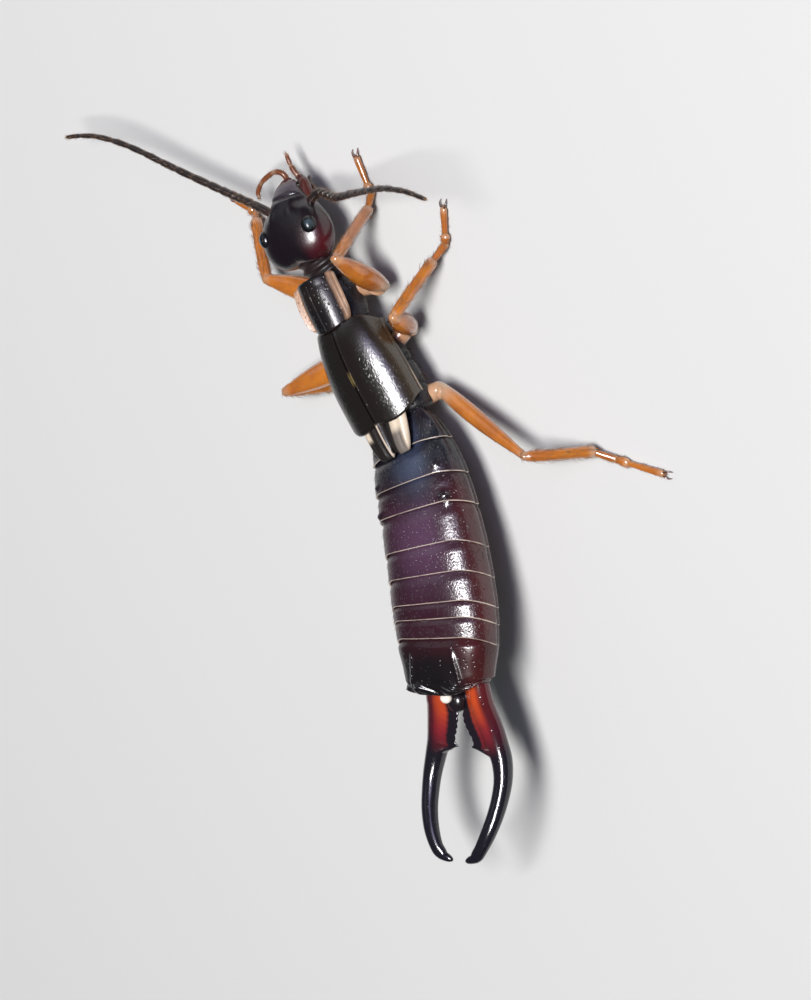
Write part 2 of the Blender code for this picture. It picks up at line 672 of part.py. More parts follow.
def leg_pieces(joints, femur):
    """A leg of coxa, trochanter, femur, tibia and a three-jointed tarsus with two claws."""
    root, hip, knee, ankle = (Vector(p) for p in joints[:4])
    one, two, toe = (Vector((*p, high)) for p, high in zip(joints[4:], TARSUS_HEIGHTS))
    shin = [knee.lerp(ankle, v) for v in (0.0, 0.4, 0.9)]
    foot = [ankle.lerp(one, 0.2), one, two, toe]
    shin_sizes = [TIBIA * w / 2 for w in (0.95, 1.0, 0.9)]
    foot_sizes = [TARSUS * w / 2 for w in (1.15, 1.05, 1.1, 0.85)]
    pieces = [
        tube("coxa", [root, root.lerp(hip, 0.5), hip], [0.25, 0.28, 0.24], 8),
        tube("femur", [hip.lerp(knee, v) for v in (0.0, 0.4, 0.75, 1.0)],
             [femur * w / 2 for w in (0.82, 1.0, 0.9, 0.78)], 8),
        tube("shin_and_foot", shin + foot, shin_sizes + foot_sizes, 8)]
    way = (toe - two).normalized()
    side = way.cross(Vector((0, 0, 1)))
    for sign in (1, -1):
        bend = toe + way * CLAW_LENGTH * 0.5 + side * sign * CLAW_SPREAD
        tip = toe + way * CLAW_LENGTH * 0.9 + side * sign * CLAW_SPREAD * 1.2 - Vector((0, 0, 0.05))
        pieces.append(tube("claw", [toe, bend, tip], [0.06, 0.05, 0.03], 5))
    return pieces


def floor_block(size=30.0):
    """A block whose top is the floor, which trims the feet flat."""
    bm = bmesh.new()
    shape = Matrix.Translation((0, 0, -size / 2)) @ Matrix.Diagonal((size, size, size, 1))
    bmesh.ops.create_cube(bm, size=1, matrix=shape)
    mesh = bpy.data.meshes.new("floor")
    bm.to_mesh(mesh)
    bm.free()
    block = bpy.data.objects.new("floor", mesh)
    bpy.context.scene.collection.objects.link(block)
    return block


def both_sides(name, make, finish):
    """A pair of nodes, right and left, from a function that takes the side."""
    return {name + "_right": (make(1), finish), name + "_left": (make(-1), finish)}


def all_nodes():
    """Every node's simple pieces, which overlap one another, with the node's finish."""
    nodes = {"head": (head_pieces(), BLACK_BROWN)}
    nodes.update(both_sides("eye", eye_pieces, EYE_BLACK))
    nodes["labrum"] = (labrum_pieces(), BLACK_BROWN)
    nodes.update(both_sides("mandible", mandible_pieces, RED_BROWN))
    nodes.update(both_sides("maxillary_palp", maxillary_palp_pieces, RED_BROWN))
    nodes["labial_palps"] = (labial_palps_pieces(), RED_BROWN)
    nodes.update(both_sides("antenna", feeler_pieces, FEELER_BROWN))
    nodes["neck"] = (neck_pieces(), RED_BROWN)
    nodes["pronotum"] = (pronotum_pieces(), PALE_AMBER)
    nodes["prothorax"] = (prothorax_pieces(), THORAX_BLACK)
    nodes["thorax"] = (thorax_pieces(), THORAX_BLACK)
    nodes.update(both_sides("elytron", elytron_pieces, WING_BROWN))
    nodes.update(both_sides("wing_tip", wing_tip_pieces, CREAM))
    nodes["abdomen"] = (abdomen_pieces(), PURPLE_BROWN)
    nodes["last_ring"] = (last_ring_pieces(), BLACK_BROWN)
    nodes["pygidium"] = (pygidium_pieces(), BLACK_BROWN)
    nodes.update(both_sides("forceps", forceps_pieces, FORCEPS_RED))
    for name, joints in LEGS.items():
        femur = FEMUR_HIND if "hind" in name else FEMUR_FRONT
        nodes[name] = (leg_pieces(joints, femur), AMBER)
    return nodes


# Which neighbours each node is cut clear of, with the gap
CUT_BY = {
    "head": ("eye_right", "eye_left", "labrum", "mandible_right", "mandible_left", "labial_palps",
             "maxillary_palp_right", "maxillary_palp_left", "antenna_right", "antenna_left"),
    "mandible_right": ("labrum", "antenna_right"),
    "mandible_left": ("labrum", "mandible_right", "antenna_left"),
    "maxillary_palp_right": ("mandible_right",),
    "maxillary_palp_left": ("mandible_left",),
    "labial_palps": ("mandible_right", "mandible_left", "maxillary_palp_right", "maxillary_palp_left"),
    "neck": ("head", "prothorax"),
    "prothorax": ("leg_front_right", "leg_front_left"),
    "thorax": ("leg_middle_right", "leg_middle_left", "leg_hind_right", "leg_hind_left"),
    "wing_tip_right": ("elytron_right",),
    "wing_tip_left": ("elytron_left", "wing_tip_right"),
    "forceps_right": ("last_ring",),
    "forceps_left": ("last_ring", "forceps_right"),
    "pygidium": ("last_ring", "forceps_right", "forceps_left"),
}


def build_node(name, nodes, floor):
    """Join a node's pieces, cut it clear of its neighbours and the floor, and settle it."""
    pieces, finish = nodes[name]
    body = grown(pieces[0])
    if len(pieces) > 1:
        boolean(body, [grown(piece) for piece in pieces[1:]], "UNION")
    cutters = [grown(piece, GAP) for other in CUT_BY.get(name, ()) for piece in nodes[other][0]]
    if name in LEGS:
        cutters.append(grown(floor))
    if cutters:
        boolean(body, cutters, "DIFFERENCE")
    settle(name, body, finish)


def build_all():
    """Build every node, and remove the simple pieces it was made from."""
    nodes = all_nodes()
    floor = floor_block()
    for name in nodes:
        build_node(name, nodes, floor)
    for pieces, _ in nodes.values():
        for piece in pieces:
            bpy.data.objects.remove(piece)
    bpy.data.objects.remove(floor)


for thing in list(bpy.data.objects):
    bpy.data.objects.remove(thing)
build_all()
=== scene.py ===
"""The looks of a male common earwig, as a still model at life size.

Every shape is worked out in millimetres, in the same plan as the solids, and put into metres by
put(). The animal's head is toward +Y and its right side toward +X.
"""

import math

import bpy
import numpy as np
from mathutils import Matrix, Vector


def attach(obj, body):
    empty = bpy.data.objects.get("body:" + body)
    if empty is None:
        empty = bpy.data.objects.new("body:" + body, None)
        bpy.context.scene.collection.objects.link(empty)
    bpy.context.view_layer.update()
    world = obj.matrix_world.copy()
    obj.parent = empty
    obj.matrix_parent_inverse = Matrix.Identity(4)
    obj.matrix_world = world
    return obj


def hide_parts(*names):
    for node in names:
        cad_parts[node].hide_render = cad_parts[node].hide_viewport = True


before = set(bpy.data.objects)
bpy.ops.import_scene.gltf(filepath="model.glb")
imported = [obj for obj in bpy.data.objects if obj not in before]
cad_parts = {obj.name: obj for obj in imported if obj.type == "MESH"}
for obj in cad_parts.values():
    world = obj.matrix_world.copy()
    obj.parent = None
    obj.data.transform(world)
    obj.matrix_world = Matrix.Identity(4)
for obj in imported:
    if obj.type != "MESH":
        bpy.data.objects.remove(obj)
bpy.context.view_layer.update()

bl_info = {
    "name": "Earwig looks",
    "version": (1, 0, 0),
    "blender": (4, 5, 0),
    "location": "3D View > Sidebar > Earwig",
    "description": "Builds the skin, limbs, wings and forceps of an earwig over its solids",
    "category": "Object",
}

MM = 0.001
PLAN_MIDDLE = np.array([0.11, -0.50, 0.0])

# Body axis, as in the solids
NECK = np.array([-0.08, 3.5, 1.38])
AXIS_LENGTH = 10.3
BEND_START = 4.2
BEND_ANGLE = 25.0
RISE_ANGLE = 11.0
RISE_END = 6.2

HEAD_CENTRE = np.array([-0.17, 4.72, 1.47])
HEAD_DIP = 10.0
HEAD_YAW = 7.0
RING_ENDS = (4.61, 5.42, 6.08, 6.93, 7.58, 8.22, 8.58, 9.02)
ABDOMEN_FRONT = 3.98
LAST_RING_END = 10.25
FORCEPS_PITCH = 8.0
FORCEPS_YAW = 25.0
FORCEPS_SHIFT = 0.14

HEAD_STATIONS = (
    (-1.00, 0.40, 0.20, 0.24), (-0.95, 0.58, 0.32, 0.36), (-0.78, 0.79, 0.46, 0.50),
    (-0.50, 0.93, 0.54, 0.56), (-0.15, 0.93, 0.55, 0.56), (0.20, 0.78, 0.50, 0.52),
    (0.48, 0.57, 0.40, 0.46), (0.68, 0.43, 0.29, 0.36), (0.82, 0.32, 0.18, 0.22))
ABDOMEN_STATIONS = (
    (3.6, 0.82, 0.16, 0.44), (3.9, 0.92, 0.22, 0.50), (4.2, 1.02, 0.28, 0.57), (4.5, 1.11, 0.36, 0.63),
    (4.8, 1.18, 0.52, 0.67), (5.4, 1.26, 0.68, 0.70), (6.2, 1.31, 0.76, 0.72),
    (7.2, 1.35, 0.80, 0.74), (8.3, 1.37, 0.78, 0.72), (9.1, 1.30, 0.72, 0.66),
    (9.9, 1.20, 0.62, 0.55), (10.3, 1.08, 0.50, 0.44))
ARM_STATIONS = (
    (0.50, -0.60, -0.04, 0.30, 0.24), (0.58, 0.10, -0.14, 0.32, 0.26), (0.63, 0.40, -0.23, 0.31, 0.26),
    (0.73, 0.80, -0.34, 0.30, 0.25), (0.84, 1.20, -0.42, 0.265, 0.245), (0.94, 1.55, -0.44, 0.245, 0.235),
    (1.00, 1.95, -0.38, 0.225, 0.22), (0.99, 2.35, -0.27, 0.21, 0.205),
    (0.93, 2.75, -0.14, 0.195, 0.19), (0.80, 3.17, -0.02, 0.175, 0.17),
    (0.62, 3.55, 0.05, 0.14, 0.135), (0.45, 3.76, 0.04, 0.10, 0.10))
FLANGE_EDGE = ((0.0, 0.12, 0.0), (0.26, 0.09, 0.02), (0.52, 0.10, 0.10), (0.78, 0.18, 0.12),
               (1.00, 0.27, 0.12), (1.14, 0.25, 0.12), (1.22, 0.30, 0.10))

LEGS = {
    "leg_front_right": ((0.34, 2.80, 0.92), (0.80, 2.62, 0.88), (1.06, 3.50, 2.20),
                        (1.04, 4.28, 0.42), (1.13, 4.60), (1.12, 5.02), (1.18, 5.44)),
    "leg_front_left": ((-0.46, 2.80, 0.92), (-0.78, 2.92, 0.66), (-1.98, 3.97, 1.08),
                       (-2.10, 5.30, 0.40), (-2.24, 5.55), (-2.38, 5.75), (-2.57, 5.98)),
    "leg_middle_right": ((0.45, 1.30, 0.95), (0.90, 1.50, 0.70), (1.40, 1.75, 1.68),
                         (2.10, 2.51, 0.48), (2.42, 2.76), (2.64, 3.10), (2.80, 3.46)),
    "leg_middle_left": ((-0.50, 1.30, 0.95), (-1.06, 1.42, 0.72), (-2.90, 1.48, 1.12),
                        (-2.26, 1.16, 0.38), (-2.12, 0.84), (-2.04, 0.48), (-2.0, 0.10)),
    "leg_hind_right": ((0.45, -0.10, 0.95), (1.02, -0.14, 0.80), (2.85, -2.41, 1.42),
                       (3.77, -2.96, 0.34), (4.13, -3.36), (4.66, -3.78), (5.12, -4.12)),
    "leg_hind_left": ((-0.48, -0.10, 0.92), (-0.86, -0.40, 0.70), (-1.66, -2.30, 0.84),
                      (-1.80, -3.40, 0.32), (-1.92, -3.75), (-2.10, -4.25), (-2.25, -4.72)),
}
PALPS = {
    "maxillary_palp_right": ((0.46, 0.58, -0.50), (0.32, 0.86, -0.40), (0.17, 1.10, -0.30),
                             (0.09, 1.34, -0.25), (0.06, 1.62, -0.22)),
    "maxillary_palp_left": ((-0.42, 0.58, -0.54), (-0.30, 0.96, -0.46), (-0.26, 1.22, -0.35),
                            (-0.44, 1.35, -0.29), (-0.70, 1.31, -0.28), (-0.95, 1.22, -0.30),
                            (-1.15, 1.06, -0.34), (-1.17, 0.94, -0.36)),
}
FEELERS = {
    "antenna_left": (((-0.52, 0.34, 0.0), (-1.04, 0.76, 0.05)), (
        (-1.82, 6.30, 1.40), (-2.60, 7.15, 1.50), (-3.49, 8.14, 1.60), (-4.16, 8.70, 1.65),
        (-4.65, 8.95, 1.65), (-5.10, 9.10, 1.60))),
    "antenna_right": (((0.52, 0.34, 0.0), (1.0, 0.49, 0.09)), (
        (1.50, 4.78, 1.80), (2.33, 4.62, 2.21), (3.19, 4.45, 2.64), (3.89, 4.27, 2.96),
        (4.62, 3.96, 3.28), (5.20, 3.59, 3.50))),
}

SIDES = ((1, "right"), (-1, "left"))

# Where a jaw feeler's joints start, as shares of its length
PALP_JOINTS = (0, 0.12, 0.26, 0.52, 0.78, 1)
# The glands' knobs: place on the body axis, width and height
KNOBS = ((5.22, 0.085, 0.05), (5.95, 0.12, 0.085))
# A claw's curve from the foot's end: forward, to its side and up
CLAW = ((-0.02, 0, 0), (0.09, 0.055, 0.02), (0.19, 0.085, 0), (0.255, 0.075, -0.05))

CREASE_ANGLE = 60
ROUND_END_ROWS = 5
HAIR_PATCH = 0.003
HAIR_SCATTER = 0.18


# Curves, frames and profiles

def smooth_curve(points, count):
    """A Catmull-Rom curve through the points, read at evenly spaced values of its parameter."""
    knots = np.array(points, dtype=float)
    ends = np.vstack([2 * knots[0] - knots[1], knots, 2 * knots[-1] - knots[-2]])
    where = np.linspace(0, len(knots) - 1, count)
    span = np.minimum(where.astype(int), len(knots) - 2)
    u = (where - span)[:, None]
    a, b, c, d = (ends[span + k] for k in range(4))
    return 0.5 * (2 * b + (c - a) * u + (2 * a - 5 * b + 4 * c - d) * u ** 2
                  + (3 * b - a - 3 * c + d) * u ** 3)


def even_curve(points, count):
    """The smooth curve through the points, at even steps of its length."""
    fine = smooth_curve(points, 40 * len(points))
    gone = np.concatenate([[0], np.cumsum(np.linalg.norm(np.diff(fine, axis=0), axis=1))])
    steps = np.linspace(0, gone[-1], count)
    return np.stack([np.interp(steps, gone, fine[:, k]) for k in range(3)], 1)


def read_profile(stations, where):
    """Columns of a smooth profile given as rows (place, value, ...), at the places asked."""
    fine = smooth_curve(stations, 24 * len(stations))
    return [np.interp(where, fine[:, 0], fine[:, k]) for k in range(1, fine.shape[1])]


def ease(x):
    """A smooth step from 0 to 1: 3x^2 - 2x^3, level at both ends."""
    x = np.clip(x, 0, 1)
    return x * x * (3 - 2 * x)


def bump(x, width):
    """A smooth hump of height 1 at 0 that falls off as exp(-(x / width)^2)."""
    return np.exp(-(x / width) ** 2)


def unit(v):
    """Vectors of length 1."""
    return v / np.maximum(np.linalg.norm(v, axis=-1, keepdims=True), 1e-12)


def heading(yaw, pitch):
    """Columns right, forward and up of a body turned and pitched in degrees."""
    y, p = np.radians(yaw), np.radians(pitch)
    forward = np.stack([np.sin(y) * np.cos(p), np.cos(y) * np.cos(p), -np.sin(p)], -1)
    right = np.stack([np.cos(y), -np.sin(y), np.zeros_like(y)], -1)
    return np.stack([right, forward, np.cross(right, forward)], -1)


def seated(origin, axes, points):
    """Points of one frame, or of one frame for each row, in the model's own."""
    points = np.asarray(points, float)
    if np.ndim(origin) == 1:
        return origin + points @ axes.T
    return origin[:, None] + np.einsum("rij,rcj->rci", axes, points)


def axis_shift(y):
    """Sideways place of the body axis over a point of the plan, in front of the bend."""
    return NECK[0] + 0.02 * (NECK[1] - y)


def axis_frames(t):
    """Origins and axes of the body axis at places behind the neck, by adding up short steps."""
    step = 0.01
    fine = np.arange(0, AXIS_LENGTH + 1.5, step)

    def angles(place):
        """Yaw and pitch of the axis at a place."""
        yaw = BEND_ANGLE * np.maximum(place - BEND_START, 0) / (AXIS_LENGTH - BEND_START)
        pitch = RISE_ANGLE * ease((place - BEND_START + 1.0) / (RISE_END - BEND_START + 1.0))
        return yaw, pitch

    ways = heading(*angles(fine + step / 2))[:, :, 1] * step
    places = NECK - np.vstack([np.zeros(3), np.cumsum(ways, axis=0)])[:-1]
    t = np.atleast_1d(t)
    origin = np.stack([np.interp(t, fine, places[:, k]) for k in range(3)], 1)
    return origin, heading(*angles(t))


HEAD_AXES = heading(HEAD_YAW, HEAD_DIP)


def in_head(points):
    """Points of the head's own frame (right, forward, up) in the model's."""
    return seated(HEAD_CENTRE, HEAD_AXES, points)


def forceps_seat():
    """Origin and axes of the roots of the forceps."""
    origin, axes = axis_frames(LAST_RING_END)
    return seated(origin[0], axes[0], (FORCEPS_SHIFT, 0, -0.02)), heading(FORCEPS_YAW, FORCEPS_PITCH)


# Surfaces

class Form:
    """Points, faces of three or four corners, the corners' places on the map, marks of the points,
    and the grid of points that the form was made from.
    """

    def __init__(self, points, faces, places, marks, grid=None):
        self.points, self.faces, self.places, self.marks, self.grid = points, faces, places, marks, grid

    def faced_out(self):
        """The form, its faces turned round if the volume inside, summed over them, is negative."""
        volume = 0.0
        middle = self.points.mean(0)
        for faces in self.faces:
            a = self.points[faces[:, 0]] - middle
            for k in range(1, faces.shape[1] - 1):
                b, c = self.points[faces[:, k]] - middle, self.points[faces[:, k + 1]] - middle
                volume += np.einsum("ij,ij->i", a, np.cross(b, c)).sum()
        if volume < 0:
            self.faces = [f[:, ::-1] for f in self.faces]
            self.places = [p[:, ::-1] for p in self.places]
        return self


def joined(forms):
    """Several forms as one; a mark that a form doesn't have is 0 on it."""
    marks = {name: np.concatenate([f.marks.get(name, np.zeros(len(f.points))) for f in forms])
             for name in sorted({name for f in forms for name in f.marks})}
    bases = np.cumsum([0] + [len(f.points) for f in forms])
    return Form(np.concatenate([f.points for f in forms]),
                [faces + base for f, base in zip(forms, bases) for faces in f.faces],
                [places for f in forms for places in f.places], marks)


def grid_faces(rows, columns, wrap):
    """Faces of a grid of points and their corners' places on it, from 0 to 1 each way."""
    span = columns if wrap else columns - 1
    r, c = (a.ravel() for a in np.meshgrid(np.arange(rows - 1), np.arange(span), indexing="ij"))
    n = (c + 1) % columns
    faces = np.stack([r * columns + c, r * columns + n, (r + 1) * columns + n, (r + 1) * columns + c], 1)
    across = np.stack([c, c + 1, c + 1, c], 1) / span
    along = np.stack([r, r, r + 1, r + 1], 1) / (rows - 1)
    return faces, np.stack([across, along], 2)


def loft(rings, **marks):
    """A closed surface: each row of rings is joined to the next, and each end to its middle."""
    rows, columns = rings.shape[:2]
    quads, places = grid_faces(rows, columns, True)
    points = np.vstack([rings.reshape(-1, 3), rings[0].mean(0), rings[-1].mean(0)])
    head, tail, last = rows * columns, rows * columns + 1, (rows - 1) * columns
    j = np.arange(columns)
    i = (j + 1) % columns
    fans = np.concatenate([np.stack([np.full(columns, head), i, j], 1),
                           np.stack([np.full(columns, tail), last + j, last + i], 1)])
    spread = np.stack([j + 0.5, j + 1, j], 1) / columns
    fan_places = np.concatenate([np.stack([spread, np.zeros_like(spread)], 2),
                                 np.stack([spread[:, [0, 2, 1]], np.ones_like(spread)], 2)])
    full = {n: np.concatenate([m.ravel(), [m[0].mean(), m[-1].mean()]])
            for n, m in ((n, np.broadcast_to(m, (rows, columns))) for n, m in marks.items())}
    return Form(points, [quads, fans], [places, fan_places], full, rings).faced_out()


def slab(outer, inner, **marks):
    """A closed plate: a grid of points, the same grid below it, and a strip round the rim."""
    rows, columns = outer.shape[:2]
    quads, places = grid_faces(rows, columns, False)
    under = rows * columns
    c, r = np.arange(columns), np.arange(rows)
    rim = np.concatenate([c, r[1:] * columns + columns - 1, (rows - 1) * columns + c[-2::-1],
                          r[-2:0:-1] * columns])
    following = np.roll(rim, -1)
    strip = np.stack([rim, under + rim, under + following, following], 1)
    where = np.stack([(rim % columns) / (columns - 1), (rim // columns) / (rows - 1)], 1)
    near = np.roll(where, -1, axis=0)
    full = {n: np.tile(np.broadcast_to(m, (rows, columns)).ravel(), 2) for n, m in marks.items()}
    return Form(np.vstack([outer.reshape(-1, 3), inner.reshape(-1, 3)]),
                [np.concatenate([quads, under + quads[:, ::-1], strip])],
                [np.concatenate([places, places[:, ::-1], np.stack([where, where, near, near], 1)])],
                full, outer).faced_out()


def grid_of(x, y, z):
    """Three coordinates, spread over each other, as one array of points."""
    return np.stack(np.broadcast_arrays(x, y, z), -1)


def circle(sides):
    """Cosines and sines of even angles, none of them on an axis."""
    turn = 2 * np.pi * (np.arange(sides) + 0.5) / sides
    return np.cos(turn), np.sin(turn)


def oval(half, up, down, sides, power=2.3):
    """Rounded box sections: x = half cos^(2/p) and z = up or down sin^(2/p), with their signs kept."""
    c, s = circle(sides)
    half, up, down = (np.atleast_1d(a)[:, None] for a in (half, up, down))
    x = half * np.sign(c) * np.abs(c) ** (2 / power)
    z = np.where(s > 0, up, down) * np.sign(s) * np.abs(s) ** (2 / power)
    return grid_of(x, 0.0, z)


def blunt(v, power, least=0.0):
    """A half width that closes bluntly: the root of 1 - v^power, but at least the root of least."""
    return np.sqrt(np.clip(1 - v ** power, least, 1))


def ball(rows, columns, pole=0.1):
    """Rings of a unit ball about the y axis, which stop a small angle short of its poles."""
    turn = np.linspace(pole, np.pi - pole, rows)[:, None]
    ring = 2 * np.pi * np.arange(columns) / columns
    return grid_of(np.sin(turn) * np.cos(ring), np.cos(turn), np.sin(turn) * np.sin(ring))


def tube(path, sizes, sides=20, flat=1.0, **marks):
    """A section of the given half widths carried along a path, closed by round ends.

    Each ring lies across the path, on axes side = way x up and rise = side x way, and the ends
    are quarter circles of rings that shrink as the sine while they move out as the cosine.
    """
    path, sizes = np.asarray(path, float), np.asarray(sizes, float)
    ways = unit(np.gradient(path, axis=0))
    turn = np.linspace(0.25, np.pi / 2, ROUND_END_ROWS)
    out, shrink = np.cos(turn)[:, None], np.sin(turn)

    def with_ends(rows):
        """Rows of the path with the first and the last one repeated for the round ends."""
        return np.concatenate([np.repeat(rows[:1], ROUND_END_ROWS, 0), rows[1:-1],
                               np.repeat(rows[-1:], ROUND_END_ROWS, 0)])

    places = np.vstack([path[0] - ways[0] * sizes[0] * out, path[1:-1],
                        path[-1] + ways[-1] * sizes[-1] * out[::-1]])
    spans = np.concatenate([sizes[0] * shrink, sizes[1:-1], sizes[-1] * shrink[::-1]])[:, None]
    ways = with_ends(ways)
    side = unit(np.cross(ways, (0, 0, 1)))
    rise = np.cross(side, ways)
    c, s = circle(sides)
    rings = places[:, None] + side[:, None] * (spans * c)[..., None] + rise[:, None] * (
        spans * flat * s)[..., None]
    return loft(rings, **{name: with_ends(np.broadcast_to(mark, len(path)))[:, None]
                          for name, mark in marks.items()})


def out_of(grid):
    """Unit normals of a grid of points, facing away from the middle of each row."""
    across = np.roll(grid, -1, axis=1) - np.roll(grid, 1, axis=1)
    normal = unit(np.cross(across, np.gradient(grid, axis=0)))
    away = grid - grid.mean(1, keepdims=True)
    return normal * np.sign(np.einsum("rci,rci->rc", normal, away))[..., None]


def bristles(roots, ways, lengths, width, bend, places):
    """Three-sided needles: a ring at the root, a thinner one half way and a tip, bent by bend."""
    ways = unit(ways)
    side = unit(np.cross(ways, np.array([0.3, 0.5, 0.8])))
    lift = np.cross(side, ways)
    lengths = lengths[:, None]
    angle = 2 * np.pi * np.arange(3)[:, None] / 3
    ring = side[:, None] * np.cos(angle) + lift[:, None] * np.sin(angle)
    root = roots - ways * lengths * 0.12
    middle = roots + ways * lengths * 0.5 + bend * lengths * 0.08
    tip = roots + ways * lengths + bend * lengths * 0.3
    points = np.concatenate([root[:, None] + ring * width, middle[:, None] + ring * width * 0.65,
                             tip[:, None]], 1)
    base = (np.arange(len(roots)) * 7)[:, None]
    quads = np.concatenate([base + np.array(q) for q in ((0, 1, 4, 3), (1, 2, 5, 4), (2, 0, 3, 5))])
    tris = np.concatenate([base + np.array(q) for q in ((2, 1, 0), (3, 4, 6), (4, 5, 6), (5, 3, 6))])
    spot = np.repeat(places[:, None], 4, 1) + HAIR_PATCH * np.array([[0, 0], [1, 0], [1, 1], [0, 1]])
    return Form(points.reshape(-1, 3), [quads, tris],
                [np.tile(spot, (3, 1, 1)), np.tile(spot[:, :3], (4, 1, 1))], {}).faced_out()


def hairs_on(grid, weight, count, length, width, lean, seed):
    """Bristles at random points of a grid, as dense as weight, leaning along its rows."""
    draw = np.random.default_rng(seed)
    rows, columns = grid.shape[:2]
    chance = np.broadcast_to(weight, (rows, columns)).ravel()
    pick = draw.choice(rows * columns, count, p=chance / chance.sum())
    normal, along, root = (a.reshape(-1, 3)[pick] for a in (
        out_of(grid), unit(np.gradient(grid, axis=0)), grid))
    ways = normal * (1 - lean) + along * lean + draw.normal(0, HAIR_SCATTER, (count, 3))
    places = np.stack([(pick % columns) / columns, (pick // columns) / rows], 1)
    return bristles(root, ways, length * draw.uniform(0.6, 1.2, count), width, along, places)


def put(name, form, material, crease=None):
    """Make a form a finished piece: in metres, shaded smooth and riding, with its material.

    Hairs get the map for tufts; any other piece replaces the node that has its name.
    """
    hairy = name.endswith("_hairs")
    mesh = bpy.data.meshes.new(name)
    corners = np.concatenate([f.ravel() for f in form.faces])
    sizes = np.concatenate([np.full(len(f), f.shape[1]) for f in form.faces])
    mesh.vertices.add(len(form.points))
    mesh.vertices.foreach_set("co", ((form.points - PLAN_MIDDLE) * MM).ravel())
    mesh.loops.add(len(corners))
    mesh.loops.foreach_set("vertex_index", corners)
    mesh.polygons.add(len(sizes))
    mesh.polygons.foreach_set("loop_start", np.cumsum(sizes) - sizes)
    mesh.update(calc_edges=True)
    chart = mesh.uv_layers.new(name="OFBake" if hairy else "surface")
    chart.uv.foreach_set("vector", np.concatenate([p.ravel() for p in form.places]))
    for mark, values in form.marks.items():
        mesh.attributes.new(mark, "FLOAT", "POINT").data.foreach_set("value", values.astype(np.float32))
    mesh.validate()
    mesh.shade_smooth()
    if crease:
        mesh.set_sharp_from_angle(angle=math.radians(crease))
    mesh.materials.append(material)
    piece = bpy.data.objects.new(name, mesh)
    bpy.context.scene.collection.objects.link(piece)
    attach(piece, "root")
    if not hairy:
        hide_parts(name)


# Shader nodes

class Board:
    """Adds nodes to one tree; an input may be a value or the socket that it is linked to."""

    def __init__(self, tree):
        self.tree = tree

    def feed(self, node, inputs):
        """Give a node its inputs, by name or number. A colour gets full alpha."""
        for key, value in inputs.items():
            socket = node.inputs[key]
            if isinstance(value, bpy.types.NodeSocket):
                self.tree.links.new(value, socket)
            else:
                socket.default_value = (*value[:3], 1.0) if socket.type == "RGBA" else value

    def node(self, kind, inputs=None, **settings):
        """A node with its settings and inputs."""
        made = self.tree.nodes.new(kind)
        for key, value in settings.items():
            setattr(made, key, value)
        self.feed(made, inputs or {})
        return made

    def calc(self, operation, a, b=0.0, c=0.0, clamp=False):
        """A Math node's result."""
        return self.node("ShaderNodeMath", {0: a, 1: b, 2: c}, operation=operation,
                         use_clamp=clamp).outputs[0]

    def times(self, *values):
        """The product of values."""
        product = values[0]
        for value in values[1:]:
            product = self.calc("MULTIPLY", product, value)
        return product

    def most(self, a, b):
        """The greater of two values."""
        return self.calc("MAXIMUM", a, b)

    def mark(self, name):
        """A mark of the surface, as a value."""
        return self.node("ShaderNodeAttribute", attribute_name=name).outputs["Fac"]

    def step(self, value, low, high):
        """A smooth step of a value from 0 at low to 1 at high."""
        return self.node("ShaderNodeMapRange", {0: value, 1: low, 2: high},
                         interpolation_type="SMOOTHSTEP").outputs[0]

    def tint(self, base, colour, *shares):
        """A colour turned toward another by the product of the shares."""
        return self.node("ShaderNodeMix", {0: self.times(*shares), 6: base, 7: colour},
                         data_type="RGBA").outputs[2]

    def noise(self, where, scale, detail=3.0, rough=0.55):
        """A noise texture's value."""
        return self.node("ShaderNodeTexNoise", {"Vector": where, "Scale": scale, "Detail": detail,
                                                "Roughness": rough}).outputs["Fac"]

    def where(self):
        """The surface's own coordinates, in metres."""
        return self.node("ShaderNodeTexCoord").outputs["Object"]


NUMBER, COLOUR, VECTOR = "NodeSocketFloat", "NodeSocketColor", "NodeSocketVector"


def new_group(name, inputs, outputs):
    """An empty shader node group with named sockets: its tree, board, inputs and output node."""
    tree = bpy.data.node_groups.new(name, "ShaderNodeTree")
    for label, kind, value in inputs:
        socket = tree.interface.new_socket(label, in_out="INPUT", socket_type=kind)
        if value is not None:
            socket.default_value = value
    for label, kind in outputs:
        tree.interface.new_socket(label, in_out="OUTPUT", socket_type=kind)
    b = Board(tree)
    return tree, b, b.node("NodeGroupInput").outputs, b.node("NodeGroupOutput")


